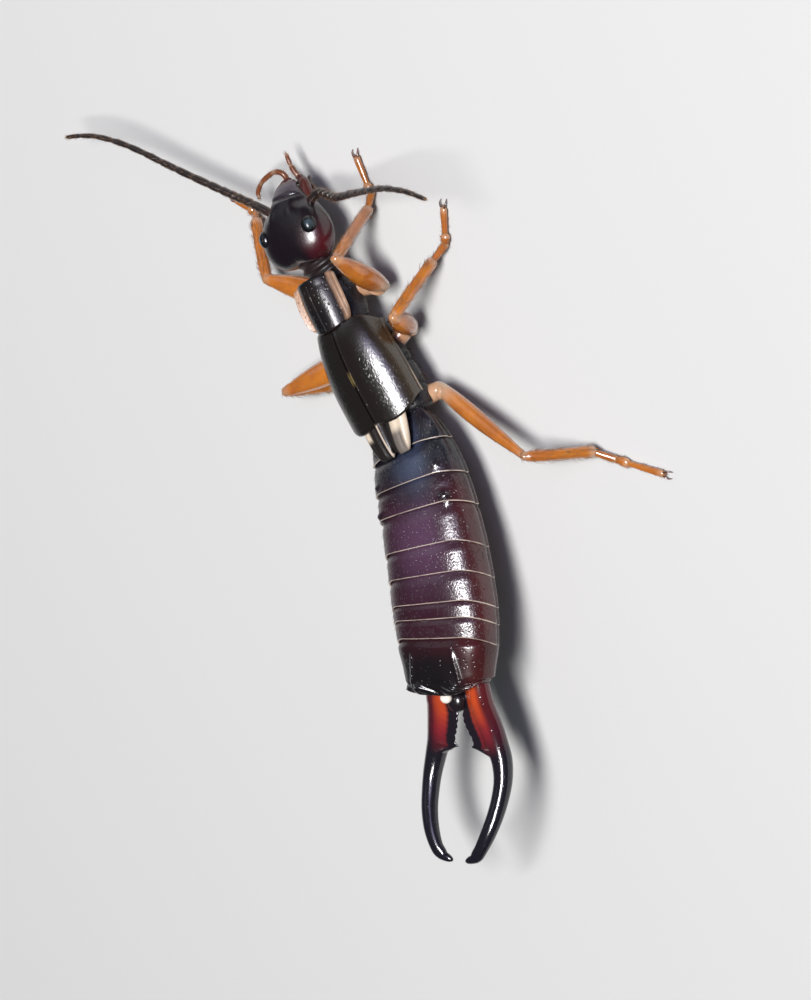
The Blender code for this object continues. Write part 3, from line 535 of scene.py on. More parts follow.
def cuticle_group():
    """Pitted, finely grained cuticle: a varied colour, a roughness and a height."""
    name = "Earwig cuticle"
    if name in bpy.data.node_groups:
        return bpy.data.node_groups[name]
    tree, b, given, wanted = new_group(
        name,
        (("Vector", VECTOR, None), ("Colour", COLOUR, (0.1, 0.1, 0.1, 1)),
         ("Shade", COLOUR, (0.02, 0.02, 0.02, 1)), ("Pits", NUMBER, 12000.0), ("Pit depth", NUMBER, 0.5),
         ("Grain", NUMBER, 40000.0), ("Grain depth", NUMBER, 0.3), ("Roughness", NUMBER, 0.25),
         ("Roughness spread", NUMBER, 0.1)),
        (("Colour", COLOUR), ("Roughness", NUMBER), ("Height", NUMBER)))
    place = given["Vector"]
    slow = b.noise(place, 900.0, 3.0, 0.6)
    fine = b.noise(place, given["Grain"], 2.0, 0.5)
    cells = b.node("ShaderNodeTexVoronoi", {"Vector": place, "Scale": given["Pits"]}).outputs["Distance"]
    pit = b.step(cells, 0.32, 0.08)
    mottled = b.tint(given["Colour"], given["Shade"], b.step(slow, 0.35, 0.75))
    spread = b.times(b.calc("SUBTRACT", slow, 0.5), given["Roughness spread"])
    dents = b.times(pit, b.times(given["Pit depth"], -1.0))
    b.feed(wanted, {"Colour": b.tint(mottled, given["Shade"], pit, 0.55),
                    "Roughness": b.calc("ADD", given["Roughness"], spread, clamp=True),
                    "Height": b.calc("ADD", dents, b.times(fine, given["Grain depth"]))})
    return tree


def joint_group():
    """Limb colouring: mottled, dusky by a share, and pale at the joints, from the marks of a limb."""
    name = "Earwig joints"
    if name in bpy.data.node_groups:
        return bpy.data.node_groups[name]
    tree, b, given, wanted = new_group(
        name,
        (("Vector", VECTOR, None), ("Colour", COLOUR, (0.5, 0.2, 0.05, 1)),
         ("Pale", COLOUR, (0.6, 0.4, 0.2, 1)), ("Dusk", COLOUR, (0.2, 0.06, 0.02, 1)),
         ("Joint", NUMBER, 0.0), ("Dusk share", NUMBER, 0.0)),
        (("Colour", COLOUR),))
    slow = b.noise(given["Vector"], 1500.0, 3.0, 0.6)
    tone = b.tint(given["Colour"], given["Dusk"], b.step(slow, 0.38, 0.72), 0.8)
    tone = b.tint(tone, given["Dusk"], given["Dusk share"])
    b.feed(wanted, {"Colour": b.tint(tone, given["Pale"], given["Joint"])})
    return tree


def limb_tone(b, colour, pale, dusk, joint, dusk_share):
    """The limb group's colour, placed in a material with its own values."""
    return b.node("ShaderNodeGroup", {"Vector": b.where(), "Colour": colour, "Pale": pale, "Dusk": dusk,
                                      "Joint": joint, "Dusk share": dusk_share},
                  node_tree=joint_group()).outputs["Colour"]


def cuticle(name, painter, pits=9000.0, pit_depth=0.5, grain=45000.0, grain_depth=0.25, rough=0.2,
            spread=0.12, relief=0.006, coat=0.0, stretch=None, **constants):
    """A cuticle material. painter(board) gives its colour and its shade, which the group mottles.

    With stretch, the coordinates are first multiplied by it, so that the grain runs one way.
    """
    material = bpy.data.materials.new(name)
    material.use_nodes = True
    b = Board(material.node_tree)
    colour, shade = painter(b)
    place = b.where()
    if stretch:
        place = b.node("ShaderNodeVectorMath", {0: place, 1: stretch}, operation="MULTIPLY").outputs[0]
    skin = b.node("ShaderNodeGroup", {
        "Vector": place, "Colour": colour, "Shade": shade, "Pits": pits, "Pit depth": pit_depth,
        "Grain": grain, "Grain depth": grain_depth, "Roughness": rough, "Roughness spread": spread},
        node_tree=cuticle_group()).outputs
    dented = b.node("ShaderNodeBump", {"Height": skin["Height"], "Distance": relief * MM, "Strength": 1.0})
    fixed = {key.replace("_", " "): value for key, value in constants.items()}
    b.feed(material.node_tree.nodes["Principled BSDF"], {
        "Base Color": skin["Colour"], "Roughness": skin["Roughness"], "Normal": dented.outputs["Normal"],
        "Coat Weight": coat, "Coat Roughness": 0.08, **fixed})
    return material


def bristle_material(name):
    """The bristles of the limbs or the dark ones of the body, built once."""
    tones = {"bristles": ((0.34, 0.17, 0.07), (0.10, 0.045, 0.02)),
             "dark_bristles": ((0.07, 0.032, 0.018), (0.02, 0.010, 0.006))}
    return bpy.data.materials.get(name) or cuticle(
        name, lambda b: tones[name], pits=30000.0, pit_depth=0.1, rough=0.35, relief=0.002)


# Sizes and colours that a user may change

def length_property(label, note, millimetres):
    """A length, kept in metres."""
    return bpy.props.FloatProperty(name=label, description=note, default=millimetres * MM, min=0.0,
                                   precision=6, unit="LENGTH")


def colour_property(label, note, colour):
    """A linear colour."""
    return bpy.props.FloatVectorProperty(name=label, description=note, default=colour, size=3,
                                         min=0.0, max=1.0, subtype="COLOR")


class EarwigSizes(bpy.types.PropertyGroup):
    """Thicknesses and hair lengths of the visible surface."""
    femur_front: length_property("Front thigh", "Greatest thickness of a front or middle thigh", 0.60)
    femur_hind: length_property("Hind thigh", "Greatest thickness of a hind thigh", 0.42)
    tibia: length_property("Shin", "Thickness of a shin", 0.27)
    tarsus: length_property("Foot", "Thickness of a foot's joints", 0.19)
    feeler: length_property("Feeler", "Thickness of a feeler near its root", 0.21)
    feeler_tip: length_property("Feeler tip", "Thickness of a feeler at its end", 0.1)
    leg_hair: length_property("Leg bristles", "Length of the bristles on shins and feet", 0.13)
    body_hair: length_property("Body bristles", "Length of the bristles on the thorax and rings", 0.14)
    ring_step: length_property("Ring step", "How far each ring stands over the next", 0.045)


class EarwigColours(bpy.types.PropertyGroup):
    """Colours of the cuticle."""
    head: colour_property("Head", "Black-brown of the head", (0.005, 0.002, 0.004))
    head_red: colour_property("Head red", "Deep red of the head's hind corners", (0.085, 0.004, 0.010))
    lip: colour_property("Lip", "Greyish lilac of the upper lip", (0.060, 0.046, 0.064))
    mouth: colour_property("Mouth", "Red-brown of the jaws", (0.060, 0.014, 0.011))
    eye: colour_property("Eye", "Dark blue-green of the eye", (0.010, 0.015, 0.018))
    feeler: colour_property("Feeler", "Dark brown of the feelers", (0.018, 0.013, 0.012))
    amber: colour_property("Amber", "Orange-brown of the legs", (0.45, 0.15, 0.016))
    pale: colour_property("Pale joint", "Pale brown of hips and joints", (0.50, 0.33, 0.22))
    pronotum: colour_property("Pronotum", "Black of the shield's middle", (0.004, 0.004, 0.005))
    margin: colour_property("Shield margin", "Tan of the shield's sides", (0.42, 0.25, 0.16))
    wing_case: colour_property("Wing case", "Dark brown of the wing cases", (0.008, 0.005, 0.004))
    wing_tip: colour_property("Wing tip", "Cream of the folded wings", (0.60, 0.50, 0.38))
    thorax: colour_property("Thorax", "Bluish black of the thorax", (0.010, 0.010, 0.014))
    # The slight blue in this black is a painted reflection of a bluish surround; the black itself is the
    # rings' own colour.
    ring_front: colour_property("Front rings", "Blue-black of the first rings", (0.008, 0.009, 0.014))
    ring_middle: colour_property("Middle rings", "Purple-brown of the rings", (0.026, 0.006, 0.012))
    ring_edge: colour_property("Ring edge", "Pale gold of the rings' hind edges", (0.55, 0.46, 0.38))
    forceps_red: colour_property("Forceps root", "Orange-red of the forceps' roots", (0.40, 0.050, 0.012))
    forceps_dark: colour_property("Forceps", "Black of the forceps' arms", (0.007, 0.006, 0.010))
    floor: colour_property("Floor", "Pale grey of the floor", (0.50, 0.50, 0.485))


# Head

def head_form():
    """The head capsule: rounded box sections along the head, narrower in front.

    The hind edge is drawn in at the middle, the brow is pressed in beside each feeler's root, and a
    fine groove runs along the crown.
    """
    v = np.linspace(0, 1, 150)
    hind, front = HEAD_STATIONS[0][0], HEAD_STATIONS[-1][0]
    f = hind + (front - hind) * (v + 0.05 * np.sin(2 * np.pi * v) / 2)
    rings = oval(*read_profile(HEAD_STATIONS, f), 180, 2.25)
    x, z = rings[..., 0], rings[..., 2]
    f = f[:, None]
    rings[..., 1] = f + 0.08 * bump(x, 0.3) * ease((-0.45 - f) / 0.4)
    top = ease(z / 0.3)
    press = 0.075 * bump(np.abs(x) - 0.50, 0.13) * bump(f - 0.44, 0.17) * ease((z + 0.1) / 0.3)
    brow = 0.025 * bump(np.abs(x) - 0.3, 0.12) * bump(f - 0.30, 0.2) * top
    groove = 0.012 * bump(x, 0.022) * ease((0.0 - f) / 0.3) * top
    snout = 0.05 * bump(f - 0.62, 0.05) * top
    rings[..., 2] = z - press + brow - groove - snout
    rings[..., 0] = x * (1 - 0.06 * bump(f - 0.48, 0.12) * top)
    return loft(in_head(rings), across=x, along=f, level=z)


def eye_form(side):
    """A compound eye: an oval dome, set in the head by more than half."""
    out = unit(np.array([side * 0.62, 0.0, 0.78]))
    first = unit(np.cross(out, [0, 1.0, 0]))
    dome = ball(48, 64, 0.05)
    shell = dome @ np.stack([first, out, np.cross(out, first)])
    return loft(in_head((side * 0.665, -0.17, 0.30) + shell * (0.19, 0.225, 0.215)), rise=dome[..., 1])


def lip_form():
    """The upper lip and the plate it hangs from: two rounded plates that slope down in front."""
    v = np.linspace(0, 1, 50)
    half = 0.34 * blunt(v * 0.97, 4) * (1 - 0.18 * v) + 0.008
    seam = 0.035 * bump(v - 0.34, 0.05)
    thick = blunt(0.985 * v, 5)
    rings = oval(half, 0.115 * thick - seam, 0.10 * thick, 72, 2.6)
    v = v[:, None]
    rings[..., 2] += 0.12 - 0.26 * v ** 1.3
    rings[..., 1] = 0.66 + 0.38 * v - 0.05 * bump(rings[..., 0], 0.08) * (v > 0.9)
    return loft(in_head(rings), along=v)


def jaw_form(side):
    """A mandible: a broad root that narrows to a hooked, toothed tip."""
    spots = np.array([(0.46, 0.48, -0.12), (0.43, 0.70, -0.16), (0.38, 0.86, -0.22), (0.27, 1.00, -0.28),
                      (0.12, 1.07, -0.33)]) * (side, 1, 1)
    v = np.linspace(0, 1, 40)
    sizes = 0.16 * (1 - 0.72 * v ** 1.6) + 0.018 * np.abs(np.sin(v * 9)) * v
    return tube(in_head(even_curve(spots, len(v))), sizes, 24, 0.85)


def segmented(path, starts, thick, gap_depth=0.35, shape=1.25, sides=18):
    """A jointed limb along a path: each joint swells toward its end and is pinched between.

    Its marks: joint is 1 at the pinches, along runs from 0 to 1 over the limb.
    """
    v = np.linspace(0, 1, 12)
    starts = np.asarray(starts, float)[:, None]
    where = (starts[:-1] + np.diff(starts, axis=0) * v * 0.999).ravel()
    swell = 1 - gap_depth + gap_depth * np.sin(np.pi * np.clip(v * 0.94 + 0.03, 0, 1) ** shape) ** 0.32
    joint = np.maximum(bump(v, 0.10), bump(v - 1, 0.10))
    count = len(starts) - 1
    fine = even_curve(path, 400)
    gone = np.linspace(0, 1, len(fine))
    places = np.stack([np.interp(where, gone, fine[:, k]) for k in range(3)], 1)
    sizes = np.interp(where, np.linspace(0, 1, len(thick)), thick) * np.tile(swell, count)
    return tube(places, sizes, sides, joint=np.tile(joint, count), along=where)


def lower_lip_forms():
    """The lower lip, a round plate under the jaws, its two short feelers, and the cheeks behind it."""
    forms = [loft(in_head(ball(30, 40) * (0.28, 0.36, 0.14) + (0, 0.68, -0.52)))]
    for side in (1, -1):
        spots = np.array([(0.12, 0.76, -0.56), (0.17, 0.93, -0.64), (0.13, 1.06, -0.74)]) * (side, 1, 1)
        forms.append(segmented(in_head(spots), np.linspace(0, 1, 4), [0.06, 0.058, 0.045]))
    return forms + [loft(in_head(ball(30, 40) * (0.42, 0.5, 0.20) + (0, 0.42, -0.40)))]


def neck_form():
    """The neck: a soft stalk with folds across it."""
    path = even_curve([(-0.10, 3.2, 1.30), (-0.13, 3.6, 1.40), (-0.16, 4.0, 1.48)], 60)
    folds = np.sin(np.linspace(0, 1, 60) * 2 * np.pi * 4)
    return tube(path, 0.44 + 0.035 * folds, 48, 0.66)


class EARWIG_OT_head(bpy.types.Operator):
    """Build the head, the eyes and the neck"""
    bl_idname = "earwig.head"
    bl_label = "Head and eyes"

    def execute(self, context):
        colours = context.scene.earwig_colours

        def paint_head(b):
            across, along, level = map(b.mark, ("across", "along", "level"))
            beside = b.most(b.step(across, 0.30, 0.82), b.step(across, -0.7, -1.0))
            tone = b.tint(colours.head, colours.head_red, b.step(along, 0.15, -0.75), beside, 0.9)
            tone = b.tint(tone, colours.lip, b.step(along, 0.50, 0.80), 0.55)
            cheek = b.times(b.step(level, 0.10, -0.15), b.step(along, 0.0, 0.45))
            tone = b.tint(tone, colours.mouth, cheek, 0.8)
            return tone, b.tint(tone, (0.004, 0.002, 0.003), 0.6)

        skin = cuticle("head_cuticle", paint_head, pits=7000.0, pit_depth=0.25, grain=30000.0,
                       grain_depth=0.8, rough=0.25, spread=0.2, Specular_IOR_Level=0.9)
        put("head", head_form(), skin)

        def paint_eye(b):
            # Painted highlight: the pole of each eye is painted five times lighter than the eye colour, as a
            # blue-grey glint.
            rise = b.step(b.mark("rise"), 0.80, 0.95)
            glint = [5 * c for c in colours.eye]
            return (b.tint((0.004, 0.005, 0.006), glint, rise),
                    b.tint((0.002, 0.002, 0.003), colours.eye, rise))

        facets = cuticle("eye_facets", paint_eye, pits=26000.0, pit_depth=-0.8, grain=90000.0,
                         grain_depth=0.1, rough=0.22, spread=0.05, relief=0.004, coat=0.2)
        for side, word in SIDES:
            put("eye_" + word, eye_form(side), facets)

        soft = cuticle("neck_membrane", lambda b: ((0.022, 0.012, 0.012), (0.008, 0.005, 0.005)),
                       pits=20000.0, pit_depth=0.2, rough=0.4, relief=0.01)
        put("neck", neck_form(), soft)
        return {"FINISHED"}


class EARWIG_OT_mouth(bpy.types.Operator):
    """Build the lips, the jaws and their feelers"""
    bl_idname = "earwig.mouth"
    bl_label = "Mouthparts"

    def execute(self, context):
        colours = context.scene.earwig_colours

        def paint_lip(b):
            tone = b.tint(colours.lip, colours.mouth, b.step(b.mark("along"), 0.55, 1.0))
            return tone, b.tint(tone, (0.02, 0.012, 0.016), 0.5)

        lip = cuticle("upper_lip", paint_lip, pits=14000.0, rough=0.25, relief=0.008,
                      Specular_IOR_Level=0.9)
        put("labrum", lip_form(), lip)

        def paint_jaw(b):
            return colours.mouth, b.tint(colours.mouth, (0.02, 0.006, 0.004), 0.6)

        jaw = cuticle("jaw_cuticle", paint_jaw, pits=12000.0, pit_depth=0.2, rough=0.24, coat=0.3)
        for side, word in SIDES:
            put("mandible_" + word, jaw_form(side), jaw)
        put("labial_palps", joined(lower_lip_forms()), jaw)

        def paint_palp(b):
            tone = limb_tone(b, (0.24, 0.075, 0.028), colours.pale, (0.05, 0.014, 0.008),
                             b.times(b.mark("joint"), 0.6), 0.3)
            return tone, b.tint(tone, (0.03, 0.01, 0.006), 0.5)

        palp = cuticle("palp_cuticle", paint_palp, pits=16000.0, pit_depth=0.3, rough=0.28, coat=0.2)
        for k, (name, spots) in enumerate(PALPS.items()):
            form = segmented(in_head(spots), PALP_JOINTS, [0.075, 0.07, 0.068, 0.062, 0.05])
            put(name, form, palp)
            put(name + "_hairs", hairs_on(form.grid, 1.0, 90, 0.07, 0.0045, 0.6, 40 + k),
                bristle_material("bristles"))
        return {"FINISHED"}


class EARWIG_OT_feelers(bpy.types.Operator):
    """Build the two feelers"""
    bl_idname = "earwig.feelers"
    bl_label = "Feelers"

    def execute(self, context):
        sizes, colours = context.scene.earwig_sizes, context.scene.earwig_colours
        thick = [sizes.feeler / MM / 2 * share for share in (1.05, 0.95, 0.88, 0.8, 0.7, 0.62)]
        thick.append(sizes.feeler_tip / MM / 2)
        joints = np.concatenate([[0, 0.115, 0.15, 0.19, 0.225, 0.265], np.linspace(0.32, 1, 10)])

        def paint_feeler(b):
            black = (0.012, 0.008, 0.007)
            base = b.tint((0.035, 0.012, 0.010), colours.feeler, b.step(b.mark("along"), 0.0, 0.08))
            tone = limb_tone(b, base, (0.16, 0.11, 0.08), black, b.times(b.mark("joint"), 0.16), 0.15)
            return tone, b.tint(tone, black, 0.3)

        skin = cuticle("feeler_cuticle", paint_feeler, pits=30000.0, pit_depth=0.4, grain=80000.0,
                       rough=0.24, relief=0.005, Specular_IOR_Level=0.9)
        for k, (name, (head_part, way)) in enumerate(FEELERS.items()):
            form = segmented(np.vstack([in_head(head_part), way]), joints, thick, 0.28, 1.3, 20)
            put(name, form, skin)
            put(name + "_hairs", hairs_on(form.grid, 1.0, 700, 0.075, 0.004, 0.72, 60 + k),
                bristle_material("bristles"))
        return {"FINISHED"}


# Thorax and wings

def pronotum_form():
    """The shield: a grid over its width u and length v, domed in the middle, flat and turned up at
    the sides, with rounded hind corners and a fine groove along the middle.
    """
    v = np.linspace(0, 1, 90)[:, None]
    u = np.sin(np.linspace(-np.pi / 2, np.pi / 2, 120) * 0.999)[None, :]
    beside = np.abs(u)
    half = 0.69 * (0.97 + 0.04 * np.sin(np.pi * v)) * (1 - 0.03 * (1 - v) ** 4)
    front = 3.42 - 0.05 * u ** 4 - 0.06 * beside ** 12
    back = 2.14 + 0.26 * u ** 4 + 0.06 * beside ** 12
    y = front + (back - front) * v
    x = half * u + axis_shift(y) - 0.13
    dome = 0.30 * (1 - np.minimum(beside / 0.78, 1) ** 2.4)
    edge = 0.07 * np.maximum(beside - 0.78, 0) / 0.22
    fall = 0.08 * (1 - v) ** 3
    groove = 0.018 * bump(u, 0.035) * ease(v / 0.2)
    furrow = 0.010 * bump(v - 0.17, 0.06) * (beside < 0.74) * (1 - (u / 0.74) ** 2)
    rim = np.minimum(np.minimum(v, 1 - v) / 0.04, (1 - beside) / 0.03)
    z = 1.82 - fall + dome + edge - groove - furrow - 0.03 * (1 - np.clip(rim, 0, 1)) ** 2
    return slab(grid_of(x, y, z), grid_of(x, y, z - 0.055 - 0.22 * dome), across=u, along=v)


def prothorax_form():
    """The first ring of the thorax, under the shield."""
    v = np.linspace(0, 1, 60)
    y = np.linspace(3.38, 2.16, 60)
    half = 0.34 + 0.15 * np.sin(np.pi * np.clip(v * 0.9 + 0.05, 0, 1)) ** 0.7
    rings = oval(half, 0.36, 0.34 + 0.08 * np.sin(np.pi * v), 72, 2.6)
    rings += grid_of(axis_shift(y) - 0.04, y, 1.2)[:, None]
    fold = 0.03 * np.sin(v * 2 * np.pi * 3)[:, None] * (rings[..., 2] < 1.35)
    rings[..., 0] *= 1 + fold * 0.4
    return loft(rings)


def thorax_form():
    """The hind thorax: rounded sections with creases between its side plates and hips."""
    v = np.linspace(0, 1, 140)
    y = 2.02 - 2.38 * v
    half, short = read_profile(
        ((0.0, 0.52, 0.14), (0.06, 0.68, 0.04), (0.25, 0.84, 0.0), (0.5, 0.95, 0.0), (0.75, 1.0, 0.0),
         (0.94, 1.0, 0.03), (1.0, 0.88, 0.12)), v)
    rings = oval(half * 0.86, 0.57 - short, 0.41 - short, 120, 2.5)
    rings += grid_of(axis_shift(y), y, 1.09)[:, None]
    x, z = rings[..., 0], rings[..., 2]
    slant = v[:, None] + 0.10 * (z - 1.1)
    crease = 0.05 * (bump(slant - 0.24, 0.02) + bump(slant - 0.50, 0.025) + bump(slant - 0.76, 0.02))
    rings[..., 0] = x - np.sign(x) * crease * ease((1.5 - z) / 0.3)
    rings[..., 2] = z + 0.03 * bump(slant - 0.5, 0.03) * (z < 0.9)
    return loft(rings)


def elytron_form(side):
    """A wing case: a grid from the seam over the shoulder to its folded side, its end slanted.

    Across, x and z follow a rounded quarter box; along, the front and hind edges are curves of x.
    """
    v = np.linspace(0, 1, 150)[:, None]
    u = np.linspace(0, 1, 110)[None, :]
    width = 1.08 * (0.80 + 0.20 * np.sin(np.pi / 2 * np.minimum(1.3 * v + 0.05, 1)))
    turn = u * np.pi / 2
    x = width * np.sin(turn) ** (2 / 2.15)
    z = 1.48 + 0.72 * np.cos(turn) ** (2 / 2.15)
    share = x / width
    front = 2.16 + 0.20 * share ** 2 - 0.46 * share ** 6
    back = -0.2 - 0.13 * np.sin(np.pi * np.minimum(share, 1) ** 0.9) + 0.21 * share ** 6
    y = front + (back - front) * v
    dip = 0.19 * (1 - v) ** 5 + 0.04 * v ** 4
    rim = np.minimum(np.minimum(v / 0.02, (1 - v) / 0.02), (1 - u) / 0.02)
    lip = 0.025 * (1 - np.clip(rim, 0, 1)) ** 2
    z = z - dip + 0.012 * bump(u, 0.02) - lip
    x = x + 0.012 * bump(u - 0.985, 0.012) - 0.010 * bump(u - 0.94, 0.02)
    deep = 0.10 * (1 - 0.5 * u)
    under = np.maximum(x - deep * np.sin(turn), 0)
    middle, gap = axis_shift(y) - 0.06, 0.02
    return slab(grid_of(middle + side * (x + gap), y, z),
                grid_of(middle + side * (under + gap), y, z - deep * (1 - 0.8 * np.sin(turn))),
                across=u, along=v)


def wing_tip_form(side):
    """The folded hind wing: a flat pad from under the wing case to a blunt tip, pleated along."""
    v = np.linspace(0, 1, 110)
    y = 1.05 - 2.14 * v
    widest = 0.335
    thick = 0.13 * blunt(0.98 * v, 9, 0.02)
    middle = axis_shift(y) + side * (0.36 - 0.10 * ease((v - 0.5) / 0.5)) - 0.03 * v
    rings = oval(widest * blunt(0.97 * v, 7, 0.003), thick, thick, 96, 2.5)
    x, z = rings[..., 0].copy(), rings[..., 2]
    rings[..., 2] = z + 0.012 * np.cos(x / widest * np.pi * 3) * (z > 0) * ease(thick[:, None] / 0.1)
    rings += grid_of(middle, y, 1.84 + 0.16 * ease((v - 0.35) / 0.65))[:, None]
    return loft(rings, across=x * side, along=v[:, None], left=float(side < 0))


class EARWIG_OT_thorax(bpy.types.Operator):
    """Build the shield behind the head and the thorax"""
    bl_idname = "earwig.thorax"
    bl_label = "Thorax"

    def execute(self, context):
        sizes, colours = context.scene.earwig_sizes, context.scene.earwig_colours

        def paint_shield(b):
            wave = b.times(b.calc("SUBTRACT", b.noise(b.where(), 2500.0), 0.5), 0.10)
            edge = b.calc("ADD", b.calc("ABSOLUTE", b.mark("across")), wave)
            tone = b.tint(colours.pronotum, colours.margin, b.step(edge, 0.66, 0.76))
            tone = b.tint(tone, (0.60, 0.42, 0.30), b.step(edge, 0.93, 1.0), 0.5)
            return tone, b.tint(tone, (0.02, 0.012, 0.01), 0.55)

        shield = cuticle("shield_cuticle", paint_shield, pits=9500.0, pit_depth=0.9, grain=30000.0,
                         rough=0.26, relief=0.010)
        put("pronotum", pronotum_form(), shield, crease=CREASE_ANGLE)

        black = cuticle("thorax_cuticle", lambda b: (colours.thorax, (0.006, 0.006, 0.008)),
                        pits=11000.0, pit_depth=0.9, rough=0.36, spread=0.2, relief=0.014)
        for name, form, count, seed in (("prothorax", prothorax_form(), 200, 80),
                                        ("thorax", thorax_form(), 700, 81)):
            put(name, form, black)
            flanks = (form.grid[..., 2] < 1.5) + 0.01
            put(name + "_hairs", hairs_on(form.grid, flanks, count, sizes.body_hair / MM, 0.005, 0.45, seed),
                bristle_material("dark_bristles"))
        return {"FINISHED"}


class EARWIG_OT_wings(bpy.types.Operator):
    """Build the wing cases and the tips of the folded wings"""
    bl_idname = "earwig.wings"
    bl_label = "Wings"

    def execute(self, context):
        colours = context.scene.earwig_colours

        def paint_case(b):
            across, along = map(b.mark, ("across", "along"))
            tone = b.tint(colours.wing_case, (0.055, 0.038, 0.020), b.step(across, 0.50, 0.85), 0.55)
            edge = b.times(b.step(across, 0.975, 0.990), b.step(along, 0.60, 0.85))
            tone = b.tint(tone, (0.50, 0.38, 0.26), edge, 0.8)
            # Painted highlight: a short yellowish glint along the seam, part way down the case.
            glint_window = b.times(b.step(along, 0.42, 0.50), b.step(along, 0.62, 0.54))
            seam = b.times(b.step(across, 0.018, 0.006), glint_window)
            tone = b.tint(tone, (0.30, 0.22, 0.08), seam, 0.5)
            return tone, b.tint(tone, (0.006, 0.005, 0.004), 0.5)

        case = cuticle("wing_case_cuticle", paint_case, pits=26000.0, pit_depth=0.2, grain=34000.0,
                       grain_depth=0.6, rough=0.22, relief=0.008, stretch=(1.0, 0.35, 1.0),
                       Specular_IOR_Level=1.0)

        def paint_tip(b):
            across, along, left = map(b.mark, ("across", "along", "left"))
            behind = b.times(b.step(along, 0.70, 0.80), b.step(across, 0.24, 0.12))
            tone = b.tint(colours.wing_tip, (0.10, 0.085, 0.078), behind, 0.9)
            # Painted shade: on the left tip only, the rear and all but the outer part are darkened, as that
            # tip lies on the side away from the light. The dark inner strip on both tips is the wing's own
            # colour.
            folded = b.times(left, b.most(b.step(along, 0.70, 0.78), b.step(across, 0.16, 0.06)))
            inner = b.most(b.step(across, -0.08, -0.14), folded)
            tone = b.tint(tone, (0.008, 0.006, 0.006), inner, 0.99)
            # Painted highlight: a thin pale line near the inner edge of the left tip only.
            left_edge_highlight = b.times(b.step(across, -0.15, -0.17), b.step(across, -0.22, -0.20), left)
            tone = b.tint(tone, (0.60, 0.50, 0.40), left_edge_highlight, 0.9)
            return tone, b.tint(tone, (0.02, 0.015, 0.012), 0.3)

        tip = cuticle("wing_tip_membrane", paint_tip, pits=14000.0, pit_depth=0.3, grain_depth=0.2,
                      rough=0.33, relief=0.008, coat=0.05)
        for side, word in SIDES:
            put("elytron_" + word, elytron_form(side), case, crease=CREASE_ANGLE)
            put("wing_tip_" + word, wing_tip_form(side), tip)
        return {"FINISHED"}


# Abdomen and forceps

def ring_form(start, end, step):
    """One ring of the abdomen: sections along the body axis that swell to the hind edge.

    The front is tucked under the ring before by the overlap, and behind the hind edge the surface
    turns in to the axis. A crease along each flank parts the back plate from the belly plate, and
    the knobs of the two glands on each side stand out of it.
    """
    overlap = 0.18
    v = np.linspace(0, 1, 34)
    turned_in = end + np.array([0.012, 0.004, -0.03])
    t = np.concatenate([start - overlap + (end - start + overlap) * v, turned_in])
    inset = np.concatenate([step * (1.6 - 1.6 * ease(v / 0.45) + 0.45 * (1 - v)), [0.012, 0.03, 0.06]])
    half, up, down = read_profile(ABDOMEN_STATIONS, t)
    rings = oval(half - inset, up - inset, down - inset, 168, 2.35)
    x, z = rings[..., 0], rings[..., 2]
    angle = np.arctan2(z, np.abs(x))
    rings[..., 0] = x - np.sign(x) * 0.055 * bump(angle + 0.16, 0.055)
    place = t[:, None]
    along = np.clip((place - start) / (end - start), 0, 1)
    sweep = 0.28 - 0.12 * ease((6.6 - end) / 0.8)
    rings[..., 1] = along * (0.10 - sweep * ease((0.62 - angle) / 0.9))
    lift = np.zeros_like(x)
    for spot, wide, high in KNOBS:
        across = np.interp(spot, t[:len(v)], half[:len(v)]) * 0.74
        lift += high * bump(np.hypot(place - spot, np.abs(x) - across), wide) * (z > 0)
    rings += unit(grid_of(x, 0.0, z)) * lift[..., None]
    return loft(seated(*axis_frames(t), rings), edge=np.clip((place - end + 0.05) / 0.05, 0, 1), body=place,
                angle=angle, across=x / np.maximum(half[:, None], 0.1), knob=np.clip(lift / 0.05, 0, 1))


def last_ring_form():
    """The large last ring: smooth in front, wrinkled behind, with a blunt knob over each arm of the
    forceps, a hollow between them, a slanting ridge before each knob and a corner on each side.
    """
    v = np.linspace(0, 1, 110)
    start = RING_ENDS[-1] - 0.12
    turned_in = LAST_RING_END - np.array([-0.01, 0.02, 0.08])
    t = np.concatenate([start + (LAST_RING_END - start) * v, turned_in])
    inset = np.concatenate([0.11 * (1 - ease(v / 0.2)), [0.05, 0.10, 0.18]])
    half, up, down = read_profile(ABDOMEN_STATIONS, t)
    half = half - 0.05 * ease((t - 9.2) / 0.5)
    rings = oval(half - inset, up - inset, down - inset, 200, 2.4)
    x, z = rings[..., 0], rings[..., 2]
    place, beside = t[:, None], np.abs(x)
    hind = ease((place - 9.75) / 0.5)
    knob = 0.11 * bump(beside - 0.50, 0.17) * bump(place - 10.12, 0.16)
    hollow = 0.10 * bump(x, 0.22) * ease((place - 9.7) / 0.5)
    wrinkle = 0.018 * np.sin(x * 16 + 5 * np.sin(place * 9)) * hind
    ridge = 0.045 * bump(beside - 0.58 - 0.16 * (place - 9.3), 0.045)
    ridge = ridge * ease((place - 9.1) / 0.3) * ease((10.15 - place) / 0.2)
    rings[..., 2] = z + (knob - hollow + wrinkle + ridge) * ((z > 0) * ease(z / 0.2))
    corner = 0.13 * bump(place - 10.28, 0.10) * bump(np.arctan2(z, np.abs(x)) - 0.30, 0.20)
    rings[..., 0] = x + np.sign(x) * corner
    share = np.abs(x) / half[:, None]
    rings[..., 1] = hind * (0.06 * share ** 3 + 0.30 * share ** 2 * (x > 0))
    return loft(seated(*axis_frames(t), rings), body=place, across=x)


def pygidium_forms():
    """The small plate between the roots of the forceps, with a small pale knob above it."""
    plate = ball(40, 48) * (0.24, 0.26, 0.17) + (0.0, -0.16, -0.02)
    pale_knob = ball(40, 48) * (0.15, 0.13, 0.11) + (-0.16, -0.07, 0.16)
    return [loft(seated(*forceps_seat(), shell), pale=pale)
            for shell, pale in ((plate, 0.0), (pale_knob, 1.0))]


